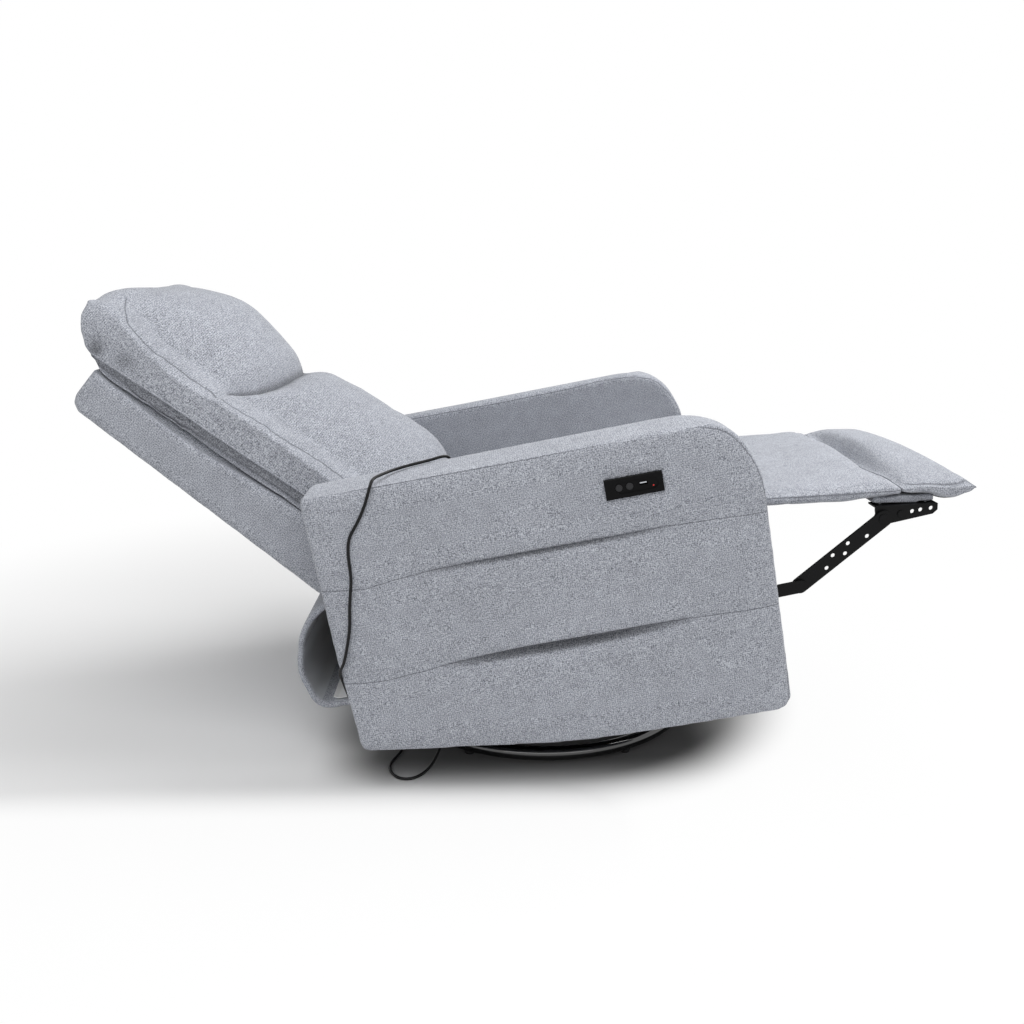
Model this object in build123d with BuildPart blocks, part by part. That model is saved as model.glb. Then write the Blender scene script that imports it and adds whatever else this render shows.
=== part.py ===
from build123d import *
from math import atan2, cos, degrees, hypot, pi, radians, sin, tan
import os

os.makedirs("parts", exist_ok=True)

# Stored pose: the chair is rocked back, reclined and its footrest is out.
# X runs forward to the footrest, Y to the sitter's left, Z up from the floor.
# The origin is on the swivel axis at floor level.

# --- Stance -----------------------------------------------------------------
tilt = 10.5  # rearward tilt of the whole chair on its rocking shaft
pivot_height = 150.0  # rocking shaft above the floor
back_lean = 39.7  # back's lean from the chair's own upright, reclined
rest_pitch = 7.5  # footrest's downward slope in the chair, extended

# --- Widths -----------------------------------------------------------------
overall_width = 800.0
arm_width = 100.0
inner_half = overall_width / 2 - arm_width
plate_gap = 2.0  # air between neighbouring moving plates
running = 0.05  # radial clearance of pins in their bores
seat_gap = 0.3  # clearance where soft parts and moving parts pass each other

# --- Base -------------------------------------------------------------------
ring_radius = 284.0
ring_tube = 12.5
glide_height = 4.0
glide_radius = 9.0
glide_count = 6
cross_width = 40.0
cross_thickness = 8.0
hub_radius = 112.0
hub_thickness = 4.0
race_radius = 86.0
race_plate_radius = 104.0
race_plate_thickness = 4.0
ball_radius = 4.0
ball_count = 18
race_lap = 1.2  # how deep each ball sits in a race
kingpin_radius = 11.0
kingpin_head_radius = 18.0
kingpin_head_height = 5.0
turntable_length = 240.0
turntable_width = 300.0
turntable_thickness = 5.0
pedestal_thickness = 6.0
pedestal_foot = 30.0
pedestal_half_spacing = 124.0  # inner face of each pedestal from the middle
pedestal_base_length = 190.0
pedestal_eye = 26.0
shaft_radius = 12.0
shaft_end = 4.0

# --- Rocking hangers and chassis ----------------------------------------------
bushing_wall = 6.0
sleeve_wall = 4.0
sleeve_length = 56.0
sleeve_pedestal_gap = 4.0
hanger_bar_width = 30.0
hanger_bar_height = 24.0
hanger_ear_thickness = 8.0
hanger_ear_length = 110.0
rail_thickness = 3.0
rail_flange = 36.0
rail_bottom = 60.0
rail_top = 130.0
rail_rear = -232.0
rail_front = 300.0
cross_tube_width = 30.0
cross_tube_height = 26.0
cross_tube_wall = 2.0
front_tube_x = 200.0
rear_tube_x = -148.0

# --- Seat ---------------------------------------------------------------------
seat_rail_width = 25.0
seat_rail_height = 40.0
seat_rear = -172.0
seat_front = 300.0
strap_thickness = 2.0
strap_width = 60.0
strap_count = 5
cushion_side_gap = 14.0
cushion_front = 354.0
# share of its length, narrowing a side, lift of its underside, side seam, crown
seat_rows = [
    (0.0, 5.0, 0.0, 40.0, 50.0),
    (0.1, 1.0, 0.0, 47.0, 62.0),
    (0.33, 0.0, 0.0, 58.0, 75.0),
    (0.6, 0.0, 0.0, 71.0, 90.0),
    (0.8, 0.0, 0.0, 78.0, 98.0),
    (0.92, 1.0, 4.0, 78.0, 96.0),
    (0.975, 4.0, 18.0, 72.0, 84.0),
    (1.0, 9.0, 40.0, 60.0, 66.0),
]

# --- Arms ---------------------------------------------------------------------
arm_rear = -325.0
arm_front = 390.0
arm_top = 432.0
arm_front_bottom = -72.0
arm_rear_bottom = -12.0
arm_corner = 84.0
arm_rise = 4.0
arm_toe = 27.0
arm_heel = 15.0
arm_band = 15.0
arm_edge = 12.0
arm_seam_upper = 280.0
arm_seam_lower = 120.0
panel_edge = 6.0
arm_board_thickness = 18.0
arm_board_inset = 18.0
arm_inner_skin = 5.0

# --- Rear of the chair ----------------------------------------------------------
stretcher_thickness = 20.0
stretcher_bottom = 36.0
stretcher_height = 44.0
stretcher_front = -258.0
apron_thickness = 12.0
apron_side_gap = 32.0
apron_half = inner_half - apron_side_gap
apron_reach = -432.0
apron_top = 216.0
apron_bottom = stretcher_bottom - apron_thickness

# --- Back, measured from the recline pins, up the back and out of its rear face --
recline_x = -244.0
recline_z = 187.0
pin_depth = 60.0  # recline pins in front of the back's rear face
recline_pin_radius = 8.0
bracket_thickness = 6.0
bracket_width = 44.0
bracket_reach = 150.0
back_side_gap = 20.0
back_half = inner_half - back_side_gap
back_low = -35.0
back_high = 625.0
back_thick_low = 112.0
back_thick_high = 74.0
back_top_radius = 22.0
back_edge = 12.0
cushion_inset = 6.0
cushion_half = back_half - cushion_inset
# up the back, width half, seam half, boxing top, stitched seam, crown
lumbar_rows = [
    (28.0, -10.0, -60.0, 8.0, 130.0, 188.0),
    (70.0, -2.0, -50.0, 14.0, 168.0, 250.0),
    (130.0, 0.0, -49.0, 16.0, 182.0, 290.0),
    (260.0, 0.0, -49.0, 18.0, 174.0, 281.0),
    (335.0, 0.0, -49.0, 18.0, 168.0, 264.0),
    (374.0, -3.0, -52.0, 16.0, 158.0, 236.0),
]
pillow_rows = [
    (375.0, -3.0, -52.0, 16.0, 158.0, 236.0),
    (400.0, 0.0, -50.0, 17.0, 163.0, 249.0),
    (460.0, 0.0, -49.0, 18.0, 156.0, 266.0),
    (540.0, 0.0, -48.0, 18.0, 148.0, 266.0),
    (600.0, 2.0, -44.0, 24.0, 150.0, 250.0),
    (650.0, 0.0, -44.0, 30.0, 152.0, 224.0),
    (680.0, -5.0, -46.0, 22.0, 148.0, 192.0),
    (697.0, -16.0, -54.0, 10.0, 138.0, 158.0),
]
pillow_lift = 44.0  # how far the pillow's rear curls away past the frame's top

# --- Footrest linkage, in the chair's own upright ---------------------------------
drive_x = 270.0
drive_z = 95.0
elbow_x = 455.0
elbow_z = 99.0
ottoman_x = 609.0
ottoman_z = 190.0
drive_tube_radius = 12.5
journal_radius = 8.0
drive_link_width = 22.0
link_width = 28.0
link_thickness = 4.0
link_pin_radius = 5.0
link_pin_head = 8.5
link_pin_head_height = 2.2
link_hole_radius = 3.8
crank_radius = 34.0
crank_swing = 116.0  # degrees the drive tube turns between out and stowed
crank_thickness = 8.0
crank_pin_radius = 5.0
ottoman_flange = 30.0
ottoman_plate_length = 93.0
ottoman_plate_rise = 18.0
board_rear = -13.0
board_front = 92.0
board_thickness = 14.0
board_side_gap = 28.0
board_half = inner_half - board_side_gap
board_edge = 4.0
screw_radius = 2.5
screw_length = 15.0
screw_head = 4.5
screw_head_height = 2.0
screw_inset = 14.0
pad_side_gap = 17.0
pad_half = inner_half - pad_side_gap
bolster_length = 129.0
bolster_rear = 34.0
chaise_length = 290.0
bolster_rows = [
    (0.0, 5.0, 0.0, 15.0, 19.0),
    (0.12, 1.5, 0.0, 18.0, 31.0),
    (0.35, 0.0, 0.0, 20.0, 41.0),
    (0.6, 0.0, 0.0, 20.0, 41.0),
    (0.85, 1.0, 0.0, 19.0, 31.0),
    (0.96, 4.0, 2.0, 15.0, 20.0),
    (1.0, 7.0, 5.0, 11.0, 14.0),
]
chaise_rows = [
    (0.0, 6.0, 0.0, 11.0, 14.0),
    (0.06, 2.0, 0.0, 13.0, 20.0),
    (0.3, 0.0, 0.0, 14.0, 24.0),
    (0.6, 0.0, 0.0, 16.0, 30.0),
    (0.86, 0.0, 0.0, 18.0, 36.0),
    (0.96, 1.5, 0.0, 17.0, 28.0),
    (1.0, 5.0, 0.0, 13.0, 17.0),
]

# --- Power drive --------------------------------------------------------------------
rod_radius = 7.0
rod_length = 190.0
rod_tube_wall = 4.0
rod_tube_length = 190.0
rod_tube_front = 205.0
yoke_height = 44.0
yoke_half_length = 15.0
yoke_width = 16.0
yoke_slot_half = 7.6  # half the slot's width, wider than the crank pin for the open pivot
gearbox_length = 70.0
gearbox_height = 56.0
gearbox_width = 60.0
motor_radius = 24.0
motor_length = 96.0
lug_half = 7.0
lug_radius = 11.0
lug_pin_radius = 4.0
supply_length = 66.0
supply_width = 120.0
supply_height = 34.0
supply_hanger_gap = 18.0
supply_edge = 4.0

# --- Control panel on the right arm ---------------------------------------------------
panel_x = 190.0
panel_z = 353.5
panel_length = 92.0
panel_height = 33.0
panel_corner = 3.0
panel_depth = 14.0
panel_proud = 1.5
panel_wall = 1.6
recess_length = 68.0
recess_height = 19.0
recess_depth = 2.5
recess_x = 4.0
button_radius = 5.5
button_open_x = -24.0
button_close_x = -7.0
button_proud = 1.2
button_travel = 1.5
button_length = 9.0
button_clearance = 0.08
usb_x = 15.0
usb_length = 12.6
usb_height = 5.0
usb_depth = 10.0
usb_tongue = 1.8
lamp_x = 30.0
lamp_z = -5.0
lamp_radius = 1.2

# --- Cord -----------------------------------------------------------------------------
cord_radius = 2.5
gland_radius = 6.0
gland_height = 10.0
cord_air = 1.0  # between the cord and the arm it lies over


# --- Crank and actuator line, shared by the chassis and the drive -----------------------
crank_start = crank_swing / 2 - 90
crank_pin_x = drive_x + crank_radius * cos(radians(crank_start))
crank_pin_z = drive_z + crank_radius * sin(radians(crank_start))
rod_z = (drive_z - crank_radius + crank_pin_z) / 2

# --- Planes and points -------------------------------------------------------------------
forward = Vector(cos(radians(tilt)), 0, sin(radians(tilt)))
upward = Vector(-sin(radians(tilt)), 0, cos(radians(tilt)))
back_turn = tilt + back_lean
back_up = Vector(-sin(radians(back_turn)), 0, cos(radians(back_turn)))
back_out = Vector(cos(radians(back_turn)), 0, sin(radians(back_turn)))
rest_turn = tilt - rest_pitch
rest_out = Vector(cos(radians(rest_turn)), 0, sin(radians(rest_turn)))
rest_up = Vector(-sin(radians(rest_turn)), 0, cos(radians(rest_turn)))


def chair_point(x, y, z):
    """A point in the chair's own upright frame, as it stands in the stored pose."""
    return Vector(0, y, pivot_height) + forward * x + upward * z


def chair_side(y):
    """Side view of the chair at y: sketch x is forward, sketch y is up."""
    return Plane(origin=chair_point(0, y, 0), x_dir=forward, z_dir=(0, -1, 0))


def chair_level(z, x=0.0, y=0.0):
    """A level of the chair: sketch x is forward, sketch y is to the left."""
    return Plane(origin=chair_point(x, y, z), x_dir=forward, z_dir=upward)


def chair_cross(x, y=0.0, z=0.0):
    """A section across the chair, looking back: sketch x is left, sketch y is up."""
    return Plane(origin=chair_point(x, y, z), x_dir=(0, 1, 0), z_dir=forward)


def back_point(out, y, up):
    return chair_point(recline_x, y, recline_z) + back_out * (out - pin_depth) + back_up * up


def back_side(y):
    """Side view of the back: sketch x is out of its rear face, sketch y is up the back."""
    return Plane(origin=back_point(0, y, 0), x_dir=back_out, z_dir=(0, -1, 0))


def back_section(up):
    """A section across the back: sketch y is out of its rear face."""
    return Plane(origin=back_point(0, 0, up), x_dir=(0, -1, 0), z_dir=back_up)


def rest_side(y):
    """Side view of the footrest, from its bracket pin: x is outward, y is up."""
    return Plane(origin=chair_point(ottoman_x, y, ottoman_z), x_dir=rest_out, z_dir=(0, -1, 0))


def rest_point(x, y, z):
    """A point of the footrest, from its bracket pin: x is outward, z is up."""
    return chair_point(ottoman_x, y, ottoman_z) + rest_out * x + rest_up * z


def rest_cross(x, z):
    """A section across the footrest: sketch x is left, sketch y is up."""
    return Plane(origin=rest_point(x, 0, z), x_dir=(0, 1, 0), z_dir=rest_out)


def finish(builder, name):
    builder.part.label = name
    export_step(builder.part, f"parts/{name}.step")


def mirrored(source, name):
    """The left-hand twin of a right-hand piece."""
    with BuildPart() as twin:
        add(mirror(source.part, about=Plane.XZ))
    finish(twin, name)
    return twin


# --- Ring base ------------------------------------------------------------------------------
ring_height = glide_height + ring_tube
cross_top = ring_height + cross_thickness / 2
hub_top = cross_top + hub_thickness
lower_race_top = hub_top + race_plate_thickness
ball_height = lower_race_top + ball_radius - race_lap
upper_race_bottom = ball_height + ball_radius - race_lap
upper_race_top = upper_race_bottom + race_plate_thickness
turntable_top = upper_race_top + turntable_thickness

with BuildPart() as base_ring:
    with Locations((0, 0, ring_height)):
        Torus(ring_radius, ring_tube)
    with PolarLocations(ring_radius, glide_count):
        Cylinder(
            glide_radius + running,
            ring_height,
            align=(Align.CENTER, Align.CENTER, Align.MIN),
            mode=Mode.SUBTRACT,
        )
finish(base_ring, "base_ring")

with BuildPart() as ring_glides:
    with PolarLocations(ring_radius, glide_count):
        Cylinder(glide_radius, ring_height, align=(Align.CENTER, Align.CENTER, Align.MIN))
    chamfer(ring_glides.faces().filter_by(Axis.Z).group_by(Axis.Z)[0].edges(), 1.0)
finish(ring_glides, "ring_glides")

with BuildPart() as base_cross:
    with BuildSketch(Plane.XY.offset(ring_height - cross_thickness / 2)):
        with Locations(Rotation(0, 0, 45), Rotation(0, 0, -45)):
            Rectangle(2 * (ring_radius - ring_tube / 2), cross_width)
    extrude(amount=cross_thickness)
    with Locations((0, 0, ring_height)):
        Torus(ring_radius, ring_tube, mode=Mode.SUBTRACT)
    with BuildSketch(Plane.XY.offset(cross_top)):
        Circle(hub_radius)
    extrude(amount=hub_thickness)
    with BuildSketch(Plane.XY.offset(hub_top)):
        Circle(kingpin_radius)
    extrude(amount=-(hub_thickness + cross_thickness), mode=Mode.SUBTRACT)
finish(base_cross, "base_cross")

with BuildPart() as bearing_lower:
    with BuildSketch(Plane.XY.offset(hub_top)):
        Circle(race_plate_radius)
        Circle(kingpin_radius, mode=Mode.SUBTRACT)
    extrude(amount=race_plate_thickness)
    with Locations((0, 0, ball_height)):
        Torus(race_radius, ball_radius + running, mode=Mode.SUBTRACT)
finish(bearing_lower, "bearing_lower")

with BuildPart() as bearing_balls:
    with Locations((0, 0, ball_height)):
        with PolarLocations(race_radius, ball_count):
            Sphere(ball_radius)
finish(bearing_balls, "bearing_balls")

with BuildPart() as kingpin:
    with BuildSketch(Plane.XY.offset(ring_height - cross_thickness / 2)):
        Circle(kingpin_radius)
    extrude(amount=upper_race_top + seat_gap - ring_height + cross_thickness / 2)
    with BuildSketch(Plane.XY.offset(upper_race_top + seat_gap)):
        Circle(kingpin_head_radius)
    extrude(amount=kingpin_head_height)
    chamfer(kingpin.faces().sort_by(Axis.Z)[-1].edges(), 1.5)
finish(kingpin, "kingpin")

# --- Turntable and pedestals -------------------------------------------------------------------
with BuildPart() as bearing_upper:
    with BuildSketch(Plane.XY.offset(upper_race_bottom)):
        Circle(race_plate_radius)
        Circle(kingpin_radius + running, mode=Mode.SUBTRACT)
    extrude(amount=race_plate_thickness)
    with Locations((0, 0, ball_height)):
        Torus(race_radius, ball_radius + running, mode=Mode.SUBTRACT)
finish(bearing_upper, "bearing_upper")

with BuildPart() as turntable:
    with BuildSketch(Plane.XY.offset(upper_race_top)):
        RectangleRounded(turntable_length, turntable_width, 20)
        Circle(kingpin_head_radius + plate_gap, mode=Mode.SUBTRACT)
    extrude(amount=turntable_thickness)
finish(turntable, "turntable")

with BuildPart() as pedestal_right:
    with BuildSketch(Plane.XZ.offset(pedestal_half_spacing)):
        with BuildLine():
            eye = CenterArc((0, pivot_height), pedestal_eye, 0, 180)
            Line(eye @ 1, (-pedestal_base_length / 2, turntable_top + pedestal_foot / 2))
            Line(
                (-pedestal_base_length / 2, turntable_top + pedestal_foot / 2),
                (-pedestal_base_length / 2, turntable_top),
            )
            Line(
                (-pedestal_base_length / 2, turntable_top), (pedestal_base_length / 2, turntable_top)
            )
            Line(
                (pedestal_base_length / 2, turntable_top),
                (pedestal_base_length / 2, turntable_top + pedestal_foot / 2),
            )
            Line((pedestal_base_length / 2, turntable_top + pedestal_foot / 2), eye @ 0)
        make_face()
        with Locations((0, pivot_height)):
            Circle(shaft_radius + running, mode=Mode.SUBTRACT)
        with Locations((0, (turntable_top + pivot_height) / 2 - pedestal_eye / 3)):
            Circle(pedestal_eye / 2, mode=Mode.SUBTRACT)
    extrude(amount=pedestal_thickness)
    with BuildSketch(Plane.XY.offset(turntable_top)):
        with Locations((0, -pedestal_half_spacing + pedestal_foot / 2)):
            Rectangle(pedestal_base_length, pedestal_foot)
    extrude(amount=turntable_thickness)
finish(pedestal_right, "pedestal_right")
pedestal_left = mirrored(pedestal_right, "pedestal_left")

shaft_half = pedestal_half_spacing + pedestal_thickness + shaft_end
with BuildPart() as pivot_shaft:
    with BuildSketch(Plane.XZ.offset(-shaft_half)):
        with Locations((0, pivot_height)):
            Circle(shaft_radius)
    extrude(amount=2 * shaft_half)
    chamfer(pivot_shaft.faces().filter_by(Axis.Y).edges(), 1.0)
finish(pivot_shaft, "pivot_shaft")

# --- Rocking hangers -----------------------------------------------------------------------------
bushing_radius = shaft_radius + running + bushing_wall
sleeve_radius = bushing_radius + sleeve_wall
sleeve_outer_y = pedestal_half_spacing - sleeve_pedestal_gap
cross_tube_top = rail_top - rail_thickness
cross_tube_bottom = cross_tube_top - cross_tube_height
hanger_y = sleeve_outer_y - sleeve_length / 2
with BuildPart() as rubber_bushings:
    for edge_y in (-(sleeve_outer_y - sleeve_length), sleeve_outer_y):
        with BuildSketch(chair_side(edge_y)):
            Circle(bushing_radius)
            Circle(shaft_radius + running, mode=Mode.SUBTRACT)
        extrude(amount=sleeve_length)
finish(rubber_bushings, "rubber_bushings")

with BuildPart() as hanger_right:
    with BuildSketch(chair_side(-(sleeve_outer_y - sleeve_length))):
        Circle(sleeve_radius)
    extrude(amount=sleeve_length)
    with BuildSketch(chair_side(-hanger_y + hanger_ear_thickness / 2)):
        with BuildLine():
            eye = CenterArc((0, 0), sleeve_radius, 180, 180)
            Polyline(
                eye @ 1,
                (hanger_ear_length / 2, cross_tube_bottom - hanger_bar_height),
                (-hanger_ear_length / 2, cross_tube_bottom - hanger_bar_height),
                eye @ 0,
            )
        make_face()
    extrude(amount=hanger_ear_thickness)
    with BuildSketch(chair_side(-hanger_y + hanger_bar_width / 2)):
        with Locations(((front_tube_x + rear_tube_x) / 2, cross_tube_bottom - hanger_bar_height / 2)):
            RectangleRounded(
                front_tube_x - rear_tube_x + cross_tube_width, hanger_bar_height, panel_corner
            )
    extrude(amount=hanger_bar_width)
    with BuildSketch(chair_side(-(sleeve_outer_y - sleeve_length))):
        Circle(bushing_radius)
    extrude(amount=sleeve_length, mode=Mode.SUBTRACT)
finish(hanger_right, "hanger_right")
hanger_left = mirrored(hanger_right, "hanger_left")

# --- Chassis ---------------------------------------------------------------------------------------
rail_pin_radius = recline_pin_radius + running
with BuildPart() as side_rail_right:
    with BuildSketch(chair_side(-inner_half + rail_thickness)):
        with BuildLine():
            eye = CenterArc((recline_x, recline_z), bracket_width / 2, 0, 180)
            Polyline(
                eye @ 1,
                (recline_x - bracket_width / 2, rail_bottom + 40),
                (rail_rear + 20, rail_bottom),
                (rail_front - 20, rail_bottom),
                (rail_front, rail_bottom + 20),
                (rail_front, rail_top),
                (recline_x + bracket_width / 2 + 30, rail_top),
                eye @ 0,
            )
        make_face()
        with Locations((recline_x, recline_z)):
            Circle(rail_pin_radius, mode=Mode.SUBTRACT)
        with Locations((drive_x, drive_z)):
            Circle(journal_radius + running, mode=Mode.SUBTRACT)
    extrude(amount=rail_thickness)
    with BuildSketch(chair_level(rail_top - rail_thickness)):
        with Locations(
            ((rail_front + rear_tube_x) / 2, -inner_half + rail_thickness + rail_flange / 2)
        ):
            Rectangle(rail_front - rear_tube_x + cross_tube_width, rail_flange)
    extrude(amount=rail_thickness)
finish(side_rail_right, "side_rail_right")
side_rail_left = mirrored(side_rail_right, "side_rail_left")

tube_half = inner_half - rail_thickness
tube_z = cross_tube_top - cross_tube_height / 2
with BuildPart() as cross_tubes:
    with BuildSketch(chair_side(tube_half)):
        with Locations((front_tube_x, tube_z), (rear_tube_x, tube_z)):
            RectangleRounded(cross_tube_width, cross_tube_height, panel_corner)
            Rectangle(
                cross_tube_width - 2 * cross_tube_wall,
                cross_tube_height - 2 * cross_tube_wall,
                mode=Mode.SUBTRACT,
            )
    extrude(amount=2 * tube_half)
    # two ears and a pin carry the rear end of the actuator
    for near in (-lug_half - seat_gap, lug_half + seat_gap + rail_thickness):
        with BuildSketch(chair_side(near)):
            with BuildLine():
                eye = CenterArc((rear_tube_x, rod_z), lug_radius, 180, 180)
                Polyline(
                    eye @ 1,
                    (rear_tube_x + cross_tube_width / 2 - panel_corner, cross_tube_bottom),
                    (rear_tube_x - cross_tube_width / 2 + panel_corner, cross_tube_bottom),
                    eye @ 0,
                )
            make_face()
        extrude(amount=rail_thickness)
    with BuildSketch(chair_side(lug_half + seat_gap)):
        with Locations((rear_tube_x, rod_z)):
            Circle(lug_pin_radius)
    extrude(amount=2 * (lug_half + seat_gap))
finish(cross_tubes, "cross_tubes")

# --- Seat ----------------------------------------------------------------------------------------------
seat_rail_half = inner_half - cushion_side_gap
seat_rail_z = rail_top + seat_rail_height / 2
with BuildPart() as seat_rails:
    with BuildSketch(chair_side(seat_rail_half)):
        with Locations(
            (seat_front - seat_rail_width / 2, seat_rail_z), (seat_rear + seat_rail_width / 2, seat_rail_z)
        ):
            Rectangle(seat_rail_width, seat_rail_height)
    extrude(amount=2 * seat_rail_half)
finish(seat_rails, "seat_rails")

seat_top = rail_top + seat_rail_height
strap_pitch = (2 * seat_rail_half - strap_width) / strap_count
with BuildPart() as seat_webbing:
    with BuildSketch(chair_level(seat_top)):
        with Locations(((seat_front + seat_rear) / 2, 0)):
            with GridLocations(0, strap_pitch, 1, strap_count):
                Rectangle(seat_front - seat_rear, strap_width)
    extrude(amount=strap_thickness)
finish(seat_webbing, "seat_webbing")

cushion_bottom = seat_top + strap_thickness
with BuildPart() as seat_cushion:
    for share, narrower, lift, side, crown in seat_rows:
        half = seat_rail_half - narrower
        with BuildSketch(chair_cross(seat_rear + share * (cushion_front - seat_rear), 0, cushion_bottom)):
            with BuildLine():
                Polyline((-half, side), (-half + lift / 2, lift), (half - lift / 2, lift), (half, side))
                ThreePointArc((half, side), (0, crown), (-half, side))
            make_face()
    loft()
    split(bisect_by=chair_level(cushion_bottom), keep=Keep.TOP)
finish(seat_cushion, "seat_cushion")

# --- Arms ------------------------------------------------------------------------------------------------
with BuildSketch() as arm_outline:
    with BuildLine():
        top = Line((arm_rear, arm_top), (arm_front - arm_corner - 66, arm_top + arm_rise))
        brow = Spline(
            top @ 1,
            (arm_front - arm_corner, arm_top - 1),
            (arm_front - 33, arm_top - 30),
            (arm_front - 10, arm_top - 76),
            (arm_front, arm_top - 150),
            tangents=((top % 1), (0, -1)),
        )
        front = Line(brow @ 1, (arm_front - 1, arm_front_bottom))
        sole = ThreePointArc(
            front @ 1,
            (arm_front - 385, (3 * arm_front_bottom + arm_rear_bottom) / 4 + 1),
            (arm_rear, arm_rear_bottom),
        )
        Line(sole @ 1, top @ 0)
    make_face()
    for corner, radius in ((front @ 1, arm_toe), (sole @ 1, arm_heel), (top @ 0, arm_heel)):
        fillet(arm_outline.vertices().sort_by_distance(corner)[0], radius)

with BuildPart() as arm_block:
    with BuildSketch(chair_side(-inner_half)):
        add(arm_outline.sketch)
    extrude(amount=arm_width)
    fillet(arm_block.faces().filter_by(Axis.Y).edges(), arm_edge)

with BuildPart() as arm_band_right:
    add(arm_block.part)
    with BuildSketch(chair_side(-inner_half)):
        with Locations((-arm_band, -arm_band)):
            add(arm_outline.sketch)
    extrude(amount=arm_width, mode=Mode.SUBTRACT)
finish(arm_band_right, "arm_band_right")
arm_band_left = mirrored(arm_band_right, "arm_band_left")

board_outer_y = inner_half + arm_inner_skin + arm_board_thickness
panel_cut = {
    "upper": (arm_seam_upper, arm_top + 40),
    "middle": (arm_seam_lower, arm_seam_upper),
    "lower": (arm_front_bottom - 40, arm_seam_lower),
}
recess_y = overall_width / 2 - panel_depth + panel_proud
for part_of_arm, (low, high) in panel_cut.items():
    with BuildPart() as arm_panel:
        add(arm_block.part)
        with BuildSketch(chair_side(-board_outer_y)):
            with Locations((-arm_band, -arm_band)):
                add(arm_outline.sketch)
            with Locations(((arm_rear + arm_front) / 2, (low + high) / 2)):
                Rectangle(1.2 * (arm_front - arm_rear), high - low, mode=Mode.INTERSECT)
        extrude(amount=overall_width / 2 - board_outer_y, mode=Mode.INTERSECT)
        seam_edges = (
            arm_panel.faces()
            .sort_by(Axis.Y)[0]
            .edges()
            .filter_by(Axis(chair_point(0, 0, 0), forward))
            .filter_by(
                lambda e: min(
                    abs((e.center() - chair_point(0, 0, 0)).dot(upward) - low),
                    abs((e.center() - chair_point(0, 0, 0)).dot(upward) - high),
                )
                < 1
            )
        )
        fillet(seam_edges, panel_edge)
    if part_of_arm == "upper":
        mirrored(arm_panel, "arm_panel_upper_left")
        with arm_panel:
            with BuildSketch(chair_side(-recess_y)):
                with Locations((panel_x, panel_z)):
                    Rectangle(panel_length, panel_height)
            extrude(amount=arm_width, mode=Mode.SUBTRACT)
    else:
        mirrored(arm_panel, f"arm_panel_{part_of_arm}_left")
    finish(arm_panel, f"arm_panel_{part_of_arm}_right")

with BuildPart() as arm_board_right:
    with BuildSketch(chair_side(-inner_half - arm_inner_skin)):
        with Locations((-arm_band, -arm_band)):
            add(arm_outline.sketch)
        with Locations((arm_board_inset, arm_board_inset)):
            add(arm_outline.sketch, mode=Mode.INTERSECT)
    extrude(amount=arm_board_thickness)
finish(arm_board_right, "arm_board_right")
arm_board_left = mirrored(arm_board_right, "arm_board_left")

with BuildPart() as arm_inner_right:
    add(arm_block.part)
    with BuildSketch(chair_side(-inner_half)):
        with Locations((-arm_band, -arm_band)):
            add(arm_outline.sketch)
    extrude(amount=arm_inner_skin, mode=Mode.INTERSECT)
    with BuildSketch(chair_side(-inner_half)):
        with Locations((drive_x, drive_z)):
            Circle(journal_radius + plate_gap)
    extrude(amount=arm_inner_skin, mode=Mode.SUBTRACT)
finish(arm_inner_right, "arm_inner_right")
arm_inner_left = mirrored(arm_inner_right, "arm_inner_left")

# --- Rear stretcher and apron ----------------------------------------------------------------------------
with BuildPart() as rear_stretcher:
    with BuildSketch(chair_side(inner_half)):
        with Locations(
            (stretcher_front - stretcher_thickness / 2, stretcher_bottom + stretcher_height / 2)
        ):
            Rectangle(stretcher_thickness, stretcher_height)
    extrude(amount=2 * inner_half)
finish(rear_stretcher, "rear_stretcher")

with BuildPart() as rear_apron:
    with BuildSketch(chair_side(apron_half)):
        with BuildLine():
            upper = ThreePointArc(
                (apron_reach + 78, apron_top),
                (apron_reach + 24, apron_top - 42),
                (apron_reach + 8, apron_top - 82),
            )
            spine = ThreePointArc(
                upper @ 1, (apron_reach, apron_top - 118), (apron_reach + 6, apron_bottom + 40)
            )
            foot = ThreePointArc(
                spine @ 1, (apron_reach + 18, apron_bottom + 12), (apron_reach + 50, apron_bottom)
            )
            Line(foot @ 1, (stretcher_front, apron_bottom))
            offset(amount=apron_thickness, side=Side.LEFT)
        make_face()
    extrude(amount=2 * apron_half)
finish(rear_apron, "rear_apron")

# --- Recline pins -------------------------------------------------------------------------------------------
bracket_y = back_half + bracket_thickness
with BuildPart() as recline_pin:
    with BuildSketch(chair_side(-back_half - seat_gap)):
        with Locations((recline_x, recline_z)):
            Circle(recline_pin_radius)
    extrude(amount=inner_half - back_half - seat_gap)
    with BuildSketch(chair_side(-bracket_y - seat_gap)):
        with Locations((recline_x, recline_z)):
            Circle(1.6 * recline_pin_radius)
    extrude(amount=inner_half - rail_thickness - bracket_y - seat_gap)
with BuildPart() as recline_pins:
    add(recline_pin.part)
    add(mirror(recline_pin.part, about=Plane.XZ))
finish(recline_pins, "recline_pins")

# --- Back -----------------------------------------------------------------------------------------------------
def back_front(up):
    """Front face of the back frame, out of its rear face."""
    share = (up - back_low) / (back_high - back_low)
    return back_thick_low + (back_thick_high - back_thick_low) * share


with BuildPart() as back_frame:
    with BuildSketch(back_side(back_half)):
        with BuildLine():
            Polyline(
                (back_top_radius, back_high),
                (back_thick_high, back_high),
                (back_thick_low, back_low),
                (0, back_low),
                (0, back_high - back_top_radius),
            )
            RadiusArc((0, back_high - back_top_radius), (back_top_radius, back_high), back_top_radius)
        make_face()
    extrude(amount=2 * back_half)
    fillet(
        back_frame.faces()
        .filter_by(Axis.Y)
        .edges()
        .filter_by(lambda e: (e.center() - back_point(0, 0, 0)).dot(back_out) < 5),
        back_edge,
    )
finish(back_frame, "back_frame")

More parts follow.
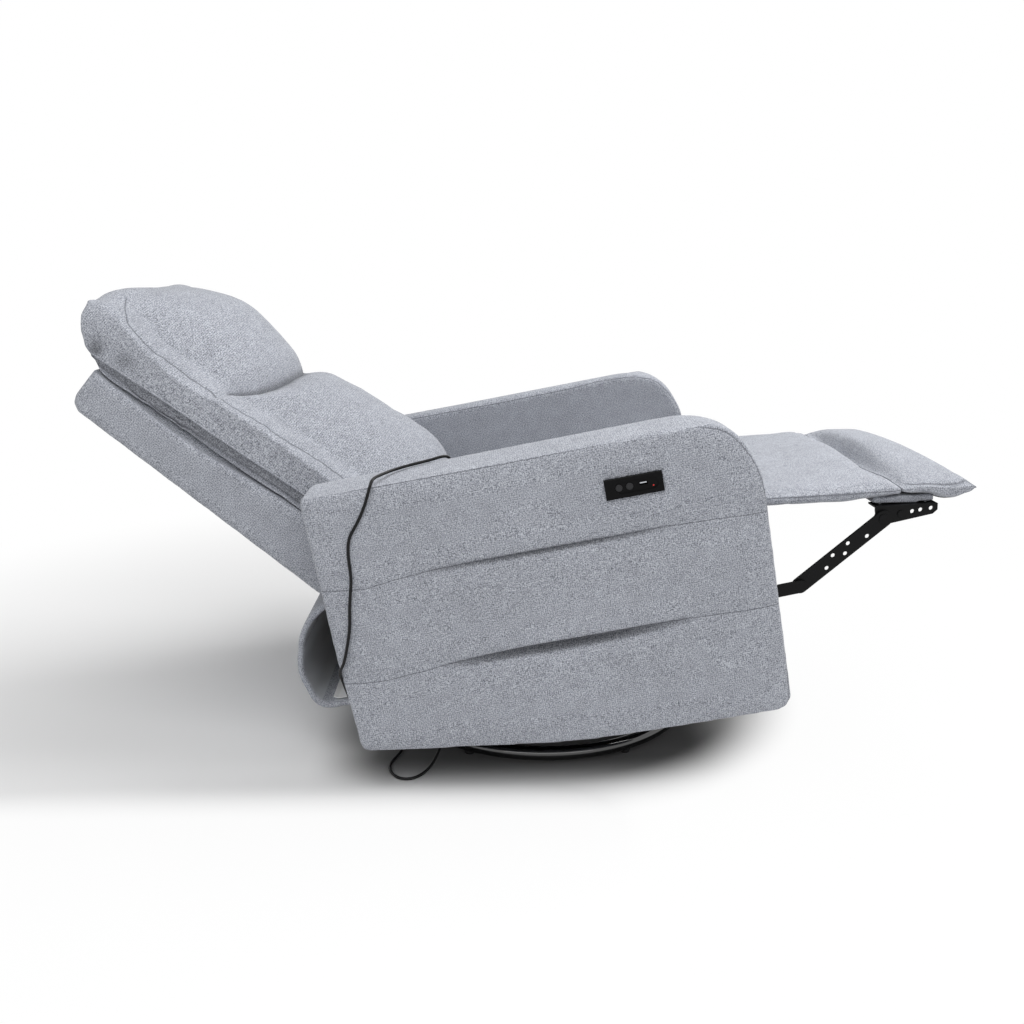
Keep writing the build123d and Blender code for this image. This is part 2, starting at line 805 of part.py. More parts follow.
with BuildPart() as back_bracket_right:
    with BuildSketch(back_side(-back_half)):
        with BuildLine():
            eye = CenterArc((pin_depth, 0), bracket_width / 2, 180, 180)
            Polyline(
                eye @ 1,
                (pin_depth + bracket_width / 2 - 8, bracket_reach - 10),
                (pin_depth + bracket_width / 2 - 18, bracket_reach),
                (pin_depth - bracket_width / 2 + 18, bracket_reach),
                (pin_depth - bracket_width / 2 + 8, bracket_reach - 10),
                eye @ 0,
            )
        make_face()
        with Locations((pin_depth, 0)):
            Circle(recline_pin_radius + running, mode=Mode.SUBTRACT)
    extrude(amount=bracket_thickness)
finish(back_bracket_right, "back_bracket_right")
back_bracket_left = mirrored(back_bracket_right, "back_bracket_left")


# Each section: flat rear, boxing strips, side panels drawn in at the seam, crowned front.
for cushion_name, rows in (("lumbar_cushion", lumbar_rows), ("head_pillow", pillow_rows)):
    with BuildPart() as cushion:
        for up, wide, inset, boxing, seam, crown in rows:
            past_top = max(0, up - back_high) / (pillow_rows[-1][0] - back_high)
            base = back_front(min(up, back_high)) + seat_gap + past_top**2 * pillow_lift
            half = cushion_half + wide
            seam_half = cushion_half + inset
            swell = ((half + seam_half) / 2 + 9, (base + boxing + seam) / 2 + 5)
            with BuildSketch(back_section(up)):
                with BuildLine():
                    Polyline((-half, base + boxing), (-half, base), (half, base), (half, base + boxing))
                    ThreePointArc((half, base + boxing), swell, (seam_half, seam))
                    ThreePointArc((seam_half, seam), (0, crown), (-seam_half, seam))
                    ThreePointArc((-seam_half, seam), (-swell[0], swell[1]), (-half, base + boxing))
                make_face()
        loft()
        add(back_frame.part, mode=Mode.SUBTRACT)
    finish(cushion, cushion_name)

# --- Footrest linkage -------------------------------------------------------------------------------------------
# Across each side from the arm inwards: rail, drive link, front link, ottoman bracket.
drive_link_y = inner_half - rail_thickness - plate_gap - link_thickness
front_link_y = drive_link_y - plate_gap - link_thickness
ottoman_plate_y = front_link_y - plate_gap - link_thickness


def bar_outline(x1, z1, x2, z2, width):
    """A bar with round ends between two pin centres."""
    angle = degrees(atan2(z2 - z1, x2 - x1))
    with Locations(Location(((x1 + x2) / 2, (z1 + z2) / 2, 0), (0, 0, angle))):
        SlotCenterToCenter(hypot(x2 - x1, z2 - z1), width)


crank_gap = yoke_width / 2 + plate_gap
with BuildPart() as drive_frame:
    for near in (-crank_gap, drive_link_y):
        with BuildSketch(chair_side(near)):
            with Locations((drive_x, drive_z)):
                Circle(drive_tube_radius)
        extrude(amount=drive_link_y - crank_gap)
    for near in (-drive_link_y, drive_link_y + link_thickness):
        with BuildSketch(chair_side(near)):
            bar_outline(drive_x, drive_z, elbow_x, elbow_z, drive_link_width)
        extrude(amount=link_thickness)
    for near in (-drive_link_y, inner_half - seat_gap):
        with BuildSketch(chair_side(near)):
            with Locations((drive_x, drive_z)):
                Circle(journal_radius)
        extrude(amount=inner_half - seat_gap - drive_link_y)
    pin_reach = drive_link_y - front_link_y + seat_gap
    head_y = front_link_y - seat_gap
    for near in (-head_y, drive_link_y):
        with BuildSketch(chair_side(near)):
            with Locations((elbow_x, elbow_z)):
                Circle(link_pin_radius)
        extrude(amount=pin_reach)
    for near in (-head_y + link_pin_head_height, head_y):
        with BuildSketch(chair_side(near)):
            with Locations((elbow_x, elbow_z)):
                Circle(link_pin_head)
        extrude(amount=link_pin_head_height)
    for near in (-front_link_y - link_thickness - seat_gap, drive_link_y):
        with BuildSketch(chair_side(near)):
            with Locations((elbow_x, elbow_z)):
                Circle(link_pin_head)
        extrude(amount=plate_gap - seat_gap)
    for near in (crank_gap + crank_thickness, -crank_gap):
        with BuildSketch(chair_side(near)):
            bar_outline(drive_x, drive_z, crank_pin_x, crank_pin_z, 2 * drive_tube_radius)
        extrude(amount=crank_thickness)
    with BuildSketch(chair_side(crank_gap)):
        with Locations((crank_pin_x, crank_pin_z)):
            Circle(crank_pin_radius)
    extrude(amount=2 * crank_gap)
finish(drive_frame, "drive_frame")

link_run = hypot(ottoman_x - elbow_x, ottoman_z - elbow_z)
link_angle = degrees(atan2(ottoman_z - elbow_z, ottoman_x - elbow_x))
with BuildPart() as front_link_right:
    with BuildSketch(chair_side(-front_link_y)):
        bar_outline(elbow_x, elbow_z, ottoman_x, ottoman_z, link_width)
        with Locations((elbow_x, elbow_z), (ottoman_x, ottoman_z)):
            Circle(link_pin_radius + running, mode=Mode.SUBTRACT)
        with Locations(Location((elbow_x, elbow_z, 0), (0, 0, link_angle))):
            with Locations(
                (0.3 * link_run, -link_width / 5),
                (0.42 * link_run, link_width / 5),
                (0.52 * link_run, -link_width / 5),
                (0.6 * link_run, link_width / 5),
                (0.78 * link_run, -link_width / 5),
            ):
                Circle(link_hole_radius, mode=Mode.SUBTRACT)
    extrude(amount=link_thickness)
finish(front_link_right, "front_link_right")
front_link_left = mirrored(front_link_right, "front_link_left")

# --- Ottoman -------------------------------------------------------------------------------------------------------
board_bottom = ottoman_plate_rise + rail_thickness
board_top = board_bottom + board_thickness
screw_y = ottoman_plate_y - ottoman_flange / 2
screw_seats = [
    Plane(origin=rest_point(0, y, ottoman_plate_rise), x_dir=rest_out, z_dir=rest_up)
    for y in (-screw_y, screw_y)
]
screw_spots = [
    (board_rear + screw_inset, 0),
    ((board_rear + ottoman_plate_length) / 2, 0),
    (ottoman_plate_length - screw_inset, 0),
]
with BuildPart() as ottoman_bracket_right:
    with BuildSketch(rest_side(-ottoman_plate_y)):
        with BuildLine():
            eye = CenterArc((0, 0), link_width / 2, 150, 160)
            Polyline(
                eye @ 1,
                (ottoman_plate_length - 8, 3),
                (ottoman_plate_length, 10),
                (ottoman_plate_length, board_bottom),
                (board_rear, board_bottom),
                (board_rear, ottoman_plate_rise - 4),
                eye @ 0,
            )
        make_face()
        with Locations(
            (0.54 * ottoman_plate_length, 9),
            (0.69 * ottoman_plate_length, 11),
            (0.88 * ottoman_plate_length, 13),
        ):
            Circle(link_hole_radius, mode=Mode.SUBTRACT)
    extrude(amount=link_thickness)
    with BuildSketch(rest_side(-ottoman_plate_y + ottoman_flange)):
        with Locations(((board_rear + ottoman_plate_length) / 2, board_bottom - rail_thickness / 2)):
            Rectangle(ottoman_plate_length - board_rear, rail_thickness)
    extrude(amount=ottoman_flange)
    with BuildSketch(screw_seats[0]):
        with Locations(*screw_spots):
            Circle(screw_radius + running)
    extrude(amount=rail_thickness, mode=Mode.SUBTRACT)
    outer_head_y = front_link_y + link_thickness + seat_gap
    with BuildSketch(rest_side(-ottoman_plate_y)):
        Circle(link_pin_radius)
    extrude(amount=outer_head_y + link_pin_head_height / 2 - ottoman_plate_y)
    with BuildSketch(rest_side(-outer_head_y)):
        Circle(link_pin_head)
    extrude(amount=link_pin_head_height / 2)
    with BuildSketch(rest_side(-ottoman_plate_y - link_thickness)):
        Circle(link_pin_head)
    extrude(amount=plate_gap - seat_gap)
    with BuildSketch(rest_side(-ottoman_plate_y - link_thickness)):
        with Locations((0.33 * ottoman_plate_length, 6)):
            Circle(link_pin_head * 0.7)
    extrude(amount=link_pin_head_height)
finish(ottoman_bracket_right, "ottoman_bracket_right")
ottoman_bracket_left = mirrored(ottoman_bracket_right, "ottoman_bracket_left")

with BuildPart() as ottoman_screws:
    for seat in screw_seats:
        for radius, height in ((screw_head, -screw_head_height), (screw_radius, screw_length)):
            with BuildSketch(seat):
                with Locations(*screw_spots):
                    Circle(radius)
            extrude(amount=height)
finish(ottoman_screws, "ottoman_screws")

with BuildPart() as ottoman_board:
    with BuildSketch(rest_side(board_half)):
        with Locations(((board_rear + board_front) / 2, (board_bottom + board_top) / 2)):
            RectangleRounded(board_front - board_rear, board_thickness, board_edge)
    extrude(amount=2 * board_half)
    for seat in screw_seats:
        with BuildSketch(seat):
            with Locations(*screw_spots):
                Circle(screw_radius)
        extrude(amount=screw_length, mode=Mode.SUBTRACT)
finish(ottoman_board, "ottoman_board")

# Each pad: share of its length, narrowing a side, lift of its underside, side seam, crown.
chaise_rear = bolster_rear - seat_gap - chaise_length
for pad_name, pad_rear, pad_length, rows in (
    ("bolster", bolster_rear, bolster_length, bolster_rows),
    ("chaise_pad", chaise_rear, chaise_length, chaise_rows),
):
    with BuildPart() as pad:
        for share, narrower, lift, side, crown in rows:
            half = pad_half - narrower
            with BuildSketch(rest_cross(pad_rear + share * pad_length, board_top + seat_gap)):
                with BuildLine():
                    Polyline((-half, side), (-half, lift), (half, lift), (half, side))
                    ThreePointArc((half, side), (0, crown), (-half, side))
                make_face()
        loft()
    finish(pad, pad_name)

# --- Power drive ------------------------------------------------------------------------------------------------------
with BuildPart() as actuator_rod:
    with BuildSketch(chair_cross(crank_pin_x - yoke_half_length, 0, rod_z)):
        Circle(rod_radius)
    extrude(amount=-rod_length)
    with BuildSketch(chair_side(yoke_width / 2)):
        with Locations((crank_pin_x, rod_z)):
            RectangleRounded(2 * yoke_half_length, yoke_height, 5)
            SlotOverall(
                yoke_height - 2 * panel_corner - 6, 2 * yoke_slot_half, rotation=90, mode=Mode.SUBTRACT
            )
    extrude(amount=yoke_width)
finish(actuator_rod, "actuator_rod")

tube_radius = rod_radius + running + rod_tube_wall
gearbox_front = rod_tube_front - rod_tube_length
gearbox_rear = gearbox_front - gearbox_length
with BuildPart() as actuator_housing:
    with BuildSketch(chair_cross(rod_tube_front, 0, rod_z)):
        Circle(tube_radius)
    extrude(amount=-rod_tube_length)
    with BuildSketch(chair_cross(gearbox_front, 0, rod_z)):
        RectangleRounded(gearbox_width, gearbox_height, 8)
    extrude(amount=-gearbox_length)
    with BuildSketch(chair_side(lug_half)):
        with BuildLine():
            eye = CenterArc((rear_tube_x, rod_z), lug_radius, 90, 180)
            Polyline(eye @ 1, (gearbox_rear, rod_z - lug_radius), (gearbox_rear, rod_z + lug_radius), eye @ 0)
        make_face()
        with Locations((rear_tube_x, rod_z)):
            Circle(lug_pin_radius + running, mode=Mode.SUBTRACT)
    extrude(amount=2 * lug_half)
    with BuildSketch(chair_cross(rod_tube_front + 1, 0, rod_z)):
        Circle(rod_radius + running)
    extrude(amount=-rod_tube_length, mode=Mode.SUBTRACT)
finish(actuator_housing, "actuator_housing")

with BuildPart() as actuator_motor:
    with BuildSketch(chair_side(-gearbox_width / 2)):
        with Locations((gearbox_front - gearbox_length / 2, rod_z)):
            Circle(motor_radius)
    extrude(amount=motor_length / 3)
    chamfer(actuator_motor.faces().sort_by(Axis.Y)[0].edges(), 3)
finish(actuator_motor, "actuator_motor")

supply_top = cross_tube_bottom
supply_y = -(hanger_y + hanger_bar_width / 2 + supply_hanger_gap + supply_width / 2)
with BuildPart() as power_supply:
    with BuildSketch(chair_level(supply_top, rear_tube_x, supply_y)):
        Rectangle(supply_length, supply_width)
    extrude(amount=-supply_height)
    fillet(power_supply.faces().filter_by(Axis(chair_point(0, 0, 0), upward)).edges(), supply_edge)
finish(power_supply, "power_supply")

# --- Control panel --------------------------------------------------------------------------------------------------------
face_y = overall_width / 2 + panel_proud
with BuildPart() as control_panel:
    with BuildSketch(chair_side(-recess_y)):
        with Locations((panel_x, panel_z)):
            Rectangle(panel_length, panel_height)
    extrude(amount=face_y - recess_y)
    fillet(control_panel.faces().sort_by(Axis.Y)[0].edges(), panel_proud)
    with BuildSketch(chair_side(-face_y + recess_depth)):
        with Locations((panel_x + recess_x, panel_z)):
            SlotOverall(recess_length, recess_height)
    extrude(amount=recess_depth + 1, mode=Mode.SUBTRACT)
    with BuildSketch(chair_side(-recess_y - panel_wall)):
        with Locations((panel_x + button_open_x, panel_z), (panel_x + button_close_x, panel_z)):
            Circle(button_radius + button_clearance)
        with Locations((panel_x + usb_x, panel_z + 1)):
            Rectangle(usb_length, usb_height)
        with Locations((panel_x + lamp_x, panel_z + lamp_z)):
            Circle(lamp_radius)
    extrude(amount=panel_depth, mode=Mode.SUBTRACT)
finish(control_panel, "control_panel")

button_back = face_y - recess_depth + button_proud - button_length
for offset_x, button_name in ((button_open_x, "button_open"), (button_close_x, "button_close")):
    with BuildPart() as button:
        with BuildSketch(chair_side(-button_back)):
            with Locations((panel_x + offset_x, panel_z)):
                Circle(button_radius)
        extrude(amount=button_length)
        fillet(button.faces().sort_by(Axis.Y)[0].edges(), 0.5)
    finish(button, button_name)

with BuildPart() as usb_tongue_plate:
    with BuildSketch(chair_side(-recess_y - panel_wall)):
        with Locations((panel_x + usb_x, panel_z + 1 + usb_height / 2 - usb_tongue)):
            Rectangle(usb_length - 2, usb_tongue)
    extrude(amount=usb_depth - 2)
finish(usb_tongue_plate, "usb_tongue")

with BuildPart() as panel_lamp:
    with BuildSketch(chair_side(-recess_y - panel_wall)):
        with Locations((panel_x + lamp_x, panel_z + lamp_z)):
            Circle(lamp_radius)
    extrude(amount=panel_depth - recess_depth - panel_wall)
finish(panel_lamp, "panel_lamp")

# --- Cord --------------------------------------------------------------------------------------------------------------------
# From its gland on the right-hand rail it climbs between seat and arm, lies over the arm,
# hangs behind the arm's rear edge, loops on the floor and climbs to the supply under the seat.
gland_x = -96.0
gland_y = -inner_half + 7.0
over_arm = arm_top + arm_rise / 2 + cord_radius + cord_air
beside_arm = -overall_width / 2 - cord_radius - cord_air
on_floor = cord_radius + 0.3
cord_start = chair_point(gland_x, gland_y, rail_top + gland_height)
supply_exit = chair_point(rear_tube_x - 18, supply_y, supply_top - supply_height)
cord_points = [
    cord_start,
    chair_point(gland_x, gland_y, 190),
    chair_point(gland_x - 5, gland_y, 245),
    chair_point(gland_x - 1, gland_y, 300),
    chair_point(gland_x - 3, gland_y, arm_top - 80),
    chair_point(gland_x + 5, gland_y - 1, arm_top - 34),
    chair_point(gland_x + 7, gland_y - 2, over_arm - 11),
    chair_point(gland_x + 1, gland_y - 13, over_arm + 1),
    chair_point(gland_x - 24, gland_y - 27, over_arm),
    chair_point(gland_x - 56, gland_y - 36, over_arm),
    chair_point(arm_rear + 144, -inner_half - 0.46 * arm_width, over_arm),
    chair_point(arm_rear + 127, -inner_half - 0.69 * arm_width, over_arm),
    chair_point(arm_rear + 117, -inner_half - 0.94 * arm_width, over_arm + 1),
    chair_point(arm_rear + 111, beside_arm - 1, over_arm - 11),
    chair_point(arm_rear + 99, beside_arm, arm_top - 29),
    chair_point(arm_rear + 82, beside_arm, arm_top - 55),
    chair_point(arm_rear + 61, beside_arm, arm_top - 78),
    chair_point(arm_rear + 54, beside_arm, arm_top - 108),
    chair_point(arm_rear + 52, beside_arm, arm_top - 143),
    chair_point(arm_rear + 39, beside_arm, arm_top - 185),
    chair_point(arm_rear + 31, beside_arm, arm_top - 224),
    chair_point(arm_rear + 19, beside_arm, arm_top - 256),
    chair_point(arm_rear + 8, beside_arm - 1, arm_top - 282),
    chair_point(arm_rear - 4, beside_arm + 5.5, arm_top - 296),
    chair_point(arm_rear - 6, beside_arm + 24.5, arm_top - 324),
    chair_point(arm_rear - 7, beside_arm + 49.5, arm_top - 368),
    chair_point(arm_rear - 8, beside_arm + 73.5, arm_top - 414),
    Vector(-328, -inner_half - 1, 68),
    Vector(-321, -inner_half + 32, 51),
    Vector(-311, -inner_half + 63, 38),
    Vector(-296, -inner_half + 86, 26),
    Vector(-279, -inner_half + 95, 15),
    Vector(-266, -inner_half + 84, 6),
    Vector(-265, -inner_half + 61, on_floor + 0.2),
    Vector(-274, -inner_half + 36, on_floor),
    Vector(-283, -inner_half + 9, on_floor),
    Vector(-281, -inner_half - 16, on_floor),
    Vector(-269, -inner_half - 38, on_floor),
    Vector(-250, -inner_half - 48, on_floor),
    Vector(-229, -inner_half - 39, on_floor),
    Vector(-210, -inner_half - 15, 7),
    Vector(-197, -inner_half + 15, 19),
    Vector(-187, -inner_half + 46, 38),
    Vector(-180, -inner_half + 76, 64),
    Vector(-175, -inner_half + 100, 102),
    supply_exit - upward * 32,
    supply_exit,
]


def corner_radii(points):
    """Largest arc at each corner: 0.45 of the shorter run over the tangent of half the turn."""
    radii = []
    for before, here, after in zip(points, points[1:], points[2:]):
        turn = (here - before).get_angle(after - here)
        run = min((here - before).length, (after - here).length)
        radii.append(0.45 * run / tan(radians(turn) / 2))
    return radii


cord_radii = corner_radii(cord_points)
with BuildPart() as cord:
    with BuildLine() as cord_path:
        FilletPolyline(*cord_points, radius=cord_radii)
    with BuildSketch(Plane(origin=cord_points[0], z_dir=cord_points[1] - cord_points[0])):
        Circle(cord_radius)
    sweep()
finish(cord, "cord")
cord_length = cord_path.wires()[0].length
cord_share = cord.part.volume / (pi * cord_radius**2 * cord_length)
print(f"cord: {cord_length:.0f} mm, volume over section times length {cord_share:.4f}")
print("cord radii:", [round(r) for r in cord_radii])

with BuildPart() as cord_gland:
    with BuildSketch(chair_level(rail_top, gland_x, gland_y)):
        Circle(gland_radius)
    extrude(amount=gland_height)
    fillet(cord_gland.faces().sort_by(Axis.Z)[-1].edges(), 1.5)
finish(cord_gland, "cord_gland")
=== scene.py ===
import math

import bmesh
import bpy
import numpy as np
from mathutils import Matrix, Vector


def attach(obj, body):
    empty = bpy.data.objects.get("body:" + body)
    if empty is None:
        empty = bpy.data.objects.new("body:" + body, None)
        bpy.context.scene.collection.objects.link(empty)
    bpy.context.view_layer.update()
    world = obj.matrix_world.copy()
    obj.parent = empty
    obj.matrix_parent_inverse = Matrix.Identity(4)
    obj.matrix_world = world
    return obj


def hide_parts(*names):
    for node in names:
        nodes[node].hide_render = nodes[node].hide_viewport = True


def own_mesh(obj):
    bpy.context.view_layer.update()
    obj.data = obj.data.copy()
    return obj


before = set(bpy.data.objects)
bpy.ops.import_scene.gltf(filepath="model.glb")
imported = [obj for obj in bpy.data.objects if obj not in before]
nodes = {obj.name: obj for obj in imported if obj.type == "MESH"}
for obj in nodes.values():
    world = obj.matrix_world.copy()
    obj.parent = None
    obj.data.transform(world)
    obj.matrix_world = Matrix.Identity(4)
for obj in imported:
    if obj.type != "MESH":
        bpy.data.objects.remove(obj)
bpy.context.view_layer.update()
scene = bpy.context.scene

# the slants of the stored pose: where each frame starts in the row frame, and its turn about Y in degrees
chairFrame = {"origin": (0.0, 0.150), "turn": 10.5}


def chairPoint(x, y, z):
    # a point of the chair's own upright frame, as it stands rocked back
    turn = math.radians(chairFrame["turn"])
    return Vector((x * math.cos(turn) - z * math.sin(turn), y,
                   chairFrame["origin"][1] + x * math.sin(turn) + z * math.cos(turn)))


reclinePin = chairPoint(-0.244, 0.0, 0.187)
restPivot = chairPoint(0.609, 0.0, 0.190)
backTurn = 50.2
backFrame = {"origin": (reclinePin.x - 0.060 * math.cos(math.radians(backTurn)),
                        reclinePin.z - 0.060 * math.sin(math.radians(backTurn))), "turn": backTurn}
restFrame = {"origin": (restPivot.x, restPivot.z), "turn": 3.0}


def toLocal(points, slant):
    turn = math.radians(slant["turn"])
    x, z = points[:, 0] - slant["origin"][0], points[:, 2] - slant["origin"][1]
    return np.column_stack((x * math.cos(turn) + z * math.sin(turn), points[:, 1],
                            z * math.cos(turn) - x * math.sin(turn)))


def toRow(points, slant):
    turn = math.radians(slant["turn"])
    x, z = points[:, 0], points[:, 2]
    return np.column_stack((slant["origin"][0] + x * math.cos(turn) - z * math.sin(turn), points[:, 1],
                            slant["origin"][1] + x * math.sin(turn) + z * math.cos(turn)))


def ease(value, low, high):
    # 0 below low, 1 above high, smooth between
    share = np.clip((value - low) / (high - low), 0.0, 1.0)
    return share * share * (3.0 - 2.0 * share)


def signedGap(x, z, line):
    # distance in one plane to a run of seam, negative on its right-hand side
    nearest, signed = np.full(len(x), 1e9), np.zeros(len(x))
    for (ax, az), (bx, bz) in zip(line[:-1], line[1:]):
        runX, runZ = bx - ax, bz - az
        share = np.clip(((x - ax) * runX + (z - az) * runZ) / (runX ** 2 + runZ ** 2), 0.0, 1.0)
        gap = np.hypot(x - ax - share * runX, z - az - share * runZ)
        closer = gap < nearest
        nearest[closer] = gap[closer]
        signed[closer] = (gap * np.sign(runX * (z - az) - runZ * (x - ax)))[closer]
    return signed


def tint(code):
    # sRGB hex to linear
    parts = [int(code[i:i + 2], 16) / 255 for i in (1, 3, 5)]
    return tuple(p / 12.92 if p <= 0.04045 else ((p + 0.055) / 1.055) ** 2.4 for p in parts) + (1.0,)


def addNode(tree, kind, settings=None, links=None):
    # one shader node: settings are its properties or sockets, links the sockets that feed it
    node = tree.nodes.new(kind)
    for key, value in (settings or {}).items():
        if isinstance(key, int) or key in node.inputs:
            node.inputs[key].default_value = value
        else:
            setattr(node, key, value)
    for key, source in (links or {}).items():
        tree.links.new(source, node.inputs[key])
    return node


def maths(tree, operation, *feeds):
    # one sum: each feed is a number or an output
    node = addNode(tree, "ShaderNodeMath", {"operation": operation})
    for place, feed in enumerate(feeds):
        if isinstance(feed, (int, float)):
            node.inputs[place].default_value = feed
        else:
            tree.links.new(feed, node.inputs[place])
    return node.outputs[0]


def vectors(tree, operation, settings=None, links=None):
    return addNode(tree, "ShaderNodeVectorMath", {"operation": operation, **(settings or {})}, links)


def spanned(tree, value, source=(0.0, 1.0), target=(0.0, 1.0), smooth=False):
    # value carried from the source span to the target span, held at both ends
    node = addNode(tree, "ShaderNodeMapRange", {
        "interpolation_type": "SMOOTHSTEP" if smooth else "LINEAR", "From Min": source[0], "From Max": source[1],
        "To Min": target[0], "To Max": target[1]}, {"Value": value})
    return node.outputs["Result"]


def backdropSeen(tree):
    # 1 for a ray that shows the backdrop to the camera, straight, in gloss or through glass
    ray = addNode(tree, "ShaderNodeLightPath")
    seen = maths(tree, "MAXIMUM", ray.outputs["Is Camera Ray"], ray.outputs["Is Glossy Ray"])
    return maths(tree, "MAXIMUM", seen, ray.outputs["Is Transmission Ray"])


def placed(name, data):
    # a new object in the scene
    made = bpy.data.objects.new(name, data)
    scene.collection.objects.link(made)
    return made


def meshPiece(name, form):
    # a new object made of a finished bmesh
    mesh = bpy.data.meshes.new(name)
    form.to_mesh(mesh)
    form.free()
    return placed(name, mesh)


def newMaterial(name, rough, specular=0.5, metal=0.0):
    material = bpy.data.materials.new(name)
    material.use_nodes = True
    tree = material.node_tree
    tree.nodes.clear()
    shader = addNode(tree, "ShaderNodeBsdfPrincipled", {"Roughness": rough, "Specular IOR Level": specular,
                                                        "Metallic": metal})
    addNode(tree, "ShaderNodeOutputMaterial", links={"Surface": shader.outputs["BSDF"]})
    return material, tree, shader


def dress(piece, *materials):
    piece.data.materials.clear()
    for material in materials:
        piece.data.materials.append(material)


cameraView = {"place": (-0.098, -1.915, 0.868), "down": 0.244, "turn": 0.020, "lens": 35.156}
camera = placed("camera", bpy.data.cameras.new("camera"))
camera.location = cameraView["place"]
camera.rotation_euler = (math.pi / 2 - cameraView["down"], 0.0, -cameraView["turn"])
camera.data.lens = cameraView["lens"]
camera.data.sensor_width = 36.0
scene.camera = camera
print("camera set")

# power cord: up from the gland, over the arm, down its outer face, a loop on the floor and up to the supply
cordFacts = {"radius": 0.0025, "length": 1.55}
cordRoute = [chairPoint(*p) for p in (
    (-0.096, -0.293, 0.140), (-0.096, -0.293, 0.190), (-0.101, -0.293, 0.245), (-0.097, -0.293, 0.300),
    (-0.099, -0.293, 0.352), (-0.091, -0.294, 0.398), (-0.089, -0.295, 0.4265), (-0.095, -0.306, 0.4385),
    (-0.120, -0.320, 0.4375), (-0.152, -0.329, 0.4375), (-0.181, -0.346, 0.4375), (-0.198, -0.369, 0.4375),
    (-0.208, -0.394, 0.4385), (-0.214, -0.4045, 0.4265), (-0.226, -0.4035, 0.403), (-0.243, -0.4035, 0.377),
    (-0.264, -0.4035, 0.354), (-0.271, -0.4035, 0.324), (-0.273, -0.4035, 0.289), (-0.286, -0.4035, 0.247),
    (-0.294, -0.4035, 0.208), (-0.306, -0.4035, 0.176), (-0.317, -0.4045, 0.150), (-0.329, -0.398, 0.136),
    (-0.331, -0.379, 0.108), (-0.332, -0.354, 0.064), (-0.333, -0.330, 0.018))]
cordRoute += [Vector(p) for p in (
    (-0.328, -0.301, 0.068), (-0.321, -0.268, 0.051), (-0.311, -0.237, 0.038), (-0.296, -0.214, 0.026),
    (-0.279, -0.205, 0.015), (-0.266, -0.216, 0.006), (-0.265, -0.239, 0.003), (-0.274, -0.264, 0.0028),
    (-0.283, -0.291, 0.0028), (-0.281, -0.316, 0.0028), (-0.269, -0.338, 0.0028), (-0.250, -0.348, 0.0028),
    (-0.229, -0.339, 0.0028), (-0.210, -0.315, 0.007), (-0.197, -0.285, 0.019), (-0.187, -0.254, 0.038),
    (-0.180, -0.224, 0.064), (-0.175, -0.200, 0.102))]
cordRoute += [chairPoint(-0.166, -0.185, 0.035), chairPoint(-0.166, -0.185, 0.067)]
cordCurve = bpy.data.curves.new("powerCord", "CURVE")
cordCurve.dimensions = "3D"
cordLine = cordCurve.splines.new("NURBS")
cordLine.points.add(len(cordRoute) - 1)
for point, place in zip(cordLine.points, cordRoute):
    point.co = (*place, 1.0)
    # the curve's box grows by this, so the radius is here and the bevel is 1
    point.radius = cordFacts["radius"]
cordLine.order_u = 3
cordLine.use_endpoint_u = True
cordLine.resolution_u = 6
cordCurve.bevel_depth = 1.0
cordCurve.bevel_resolution = 3
cordCurve.use_fill_caps = True
powerCord = placed("powerCord", cordCurve)
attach(powerCord, "chair")
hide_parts("cord")


def strainRelief(name, start, heading, facts):
    # moulded sleeve that narrows along the cord, with two ribs
    form = bmesh.new()
    bmesh.ops.create_cone(form, cap_ends=True, segments=28, radius1=facts["wide"], radius2=facts["slim"],
                          depth=facts["length"])
    for share in facts["ribs"]:
        wide = facts["wide"] * (1.06 - 0.42 * share)
        ring = bmesh.ops.create_cone(form, cap_ends=True, segments=28, radius1=wide, radius2=wide,
                                     depth=facts["ribDepth"])["verts"]
        bmesh.ops.translate(form, verts=ring, vec=(0, 0, facts["length"] * (share - 0.5)))
    bmesh.ops.bevel(form, geom=[e for e in form.edges if e.calc_face_angle(0) > 0.8], offset=0.0004,
                    affect="EDGES", segments=2, profile=0.5, material=-1)
    bmesh.ops.translate(form, verts=form.verts, vec=(0, 0, facts["length"] / 2))
    bmesh.ops.rotate(form, verts=form.verts, cent=(0, 0, 0),
                     matrix=Vector((0, 0, 1)).rotation_difference(heading).to_matrix())
    bmesh.ops.translate(form, verts=form.verts, vec=start)
    piece = meshPiece(name, form)
    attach(piece, "chair")
    return piece


chairUp = chairPoint(0, 0, 1) - chairPoint(0, 0, 0)
sleeveFacts = {"wide": 0.0052, "slim": 0.0032, "length": 0.018, "ribs": (0.25, 0.45), "ribDepth": 0.0016}
supplySleeve = strainRelief("supplySleeve", chairPoint(-0.166, -0.185, 0.0672), -chairUp, sleeveFacts)
glandSleeve = strainRelief("glandSleeve", chairPoint(-0.096, -0.293, 0.1398), chairUp, sleeveFacts)
print("cord and sleeves laid")

# heathered polyester hopsack: pale and dark yarns cross in a small basket weave, matt, with a faint nap
# the fold share is painted shade: the share of the cloth's tone left inside folds and creases
clothTones = {"dark": "#5f6269", "shade": "#82858d", "base": "#999ca4", "light": "#bfc2c9", "seam": "#54575e",
              "paintedShadeInFold": 0.30, "inSeam": 0.62}
# a real yarn is about 0.8 mm; the dash is drawn a little longer and wider so that it shows at the photograph's size
clothScale = {"dash": 0.0024, "yarn": 0.0010, "rib": 0.0036, "ribDepth": 0.034, "mottle": 0.022, "drift": 0.16,
              "stitch": (0.0003, 0.0013), "relief": 0.0007}


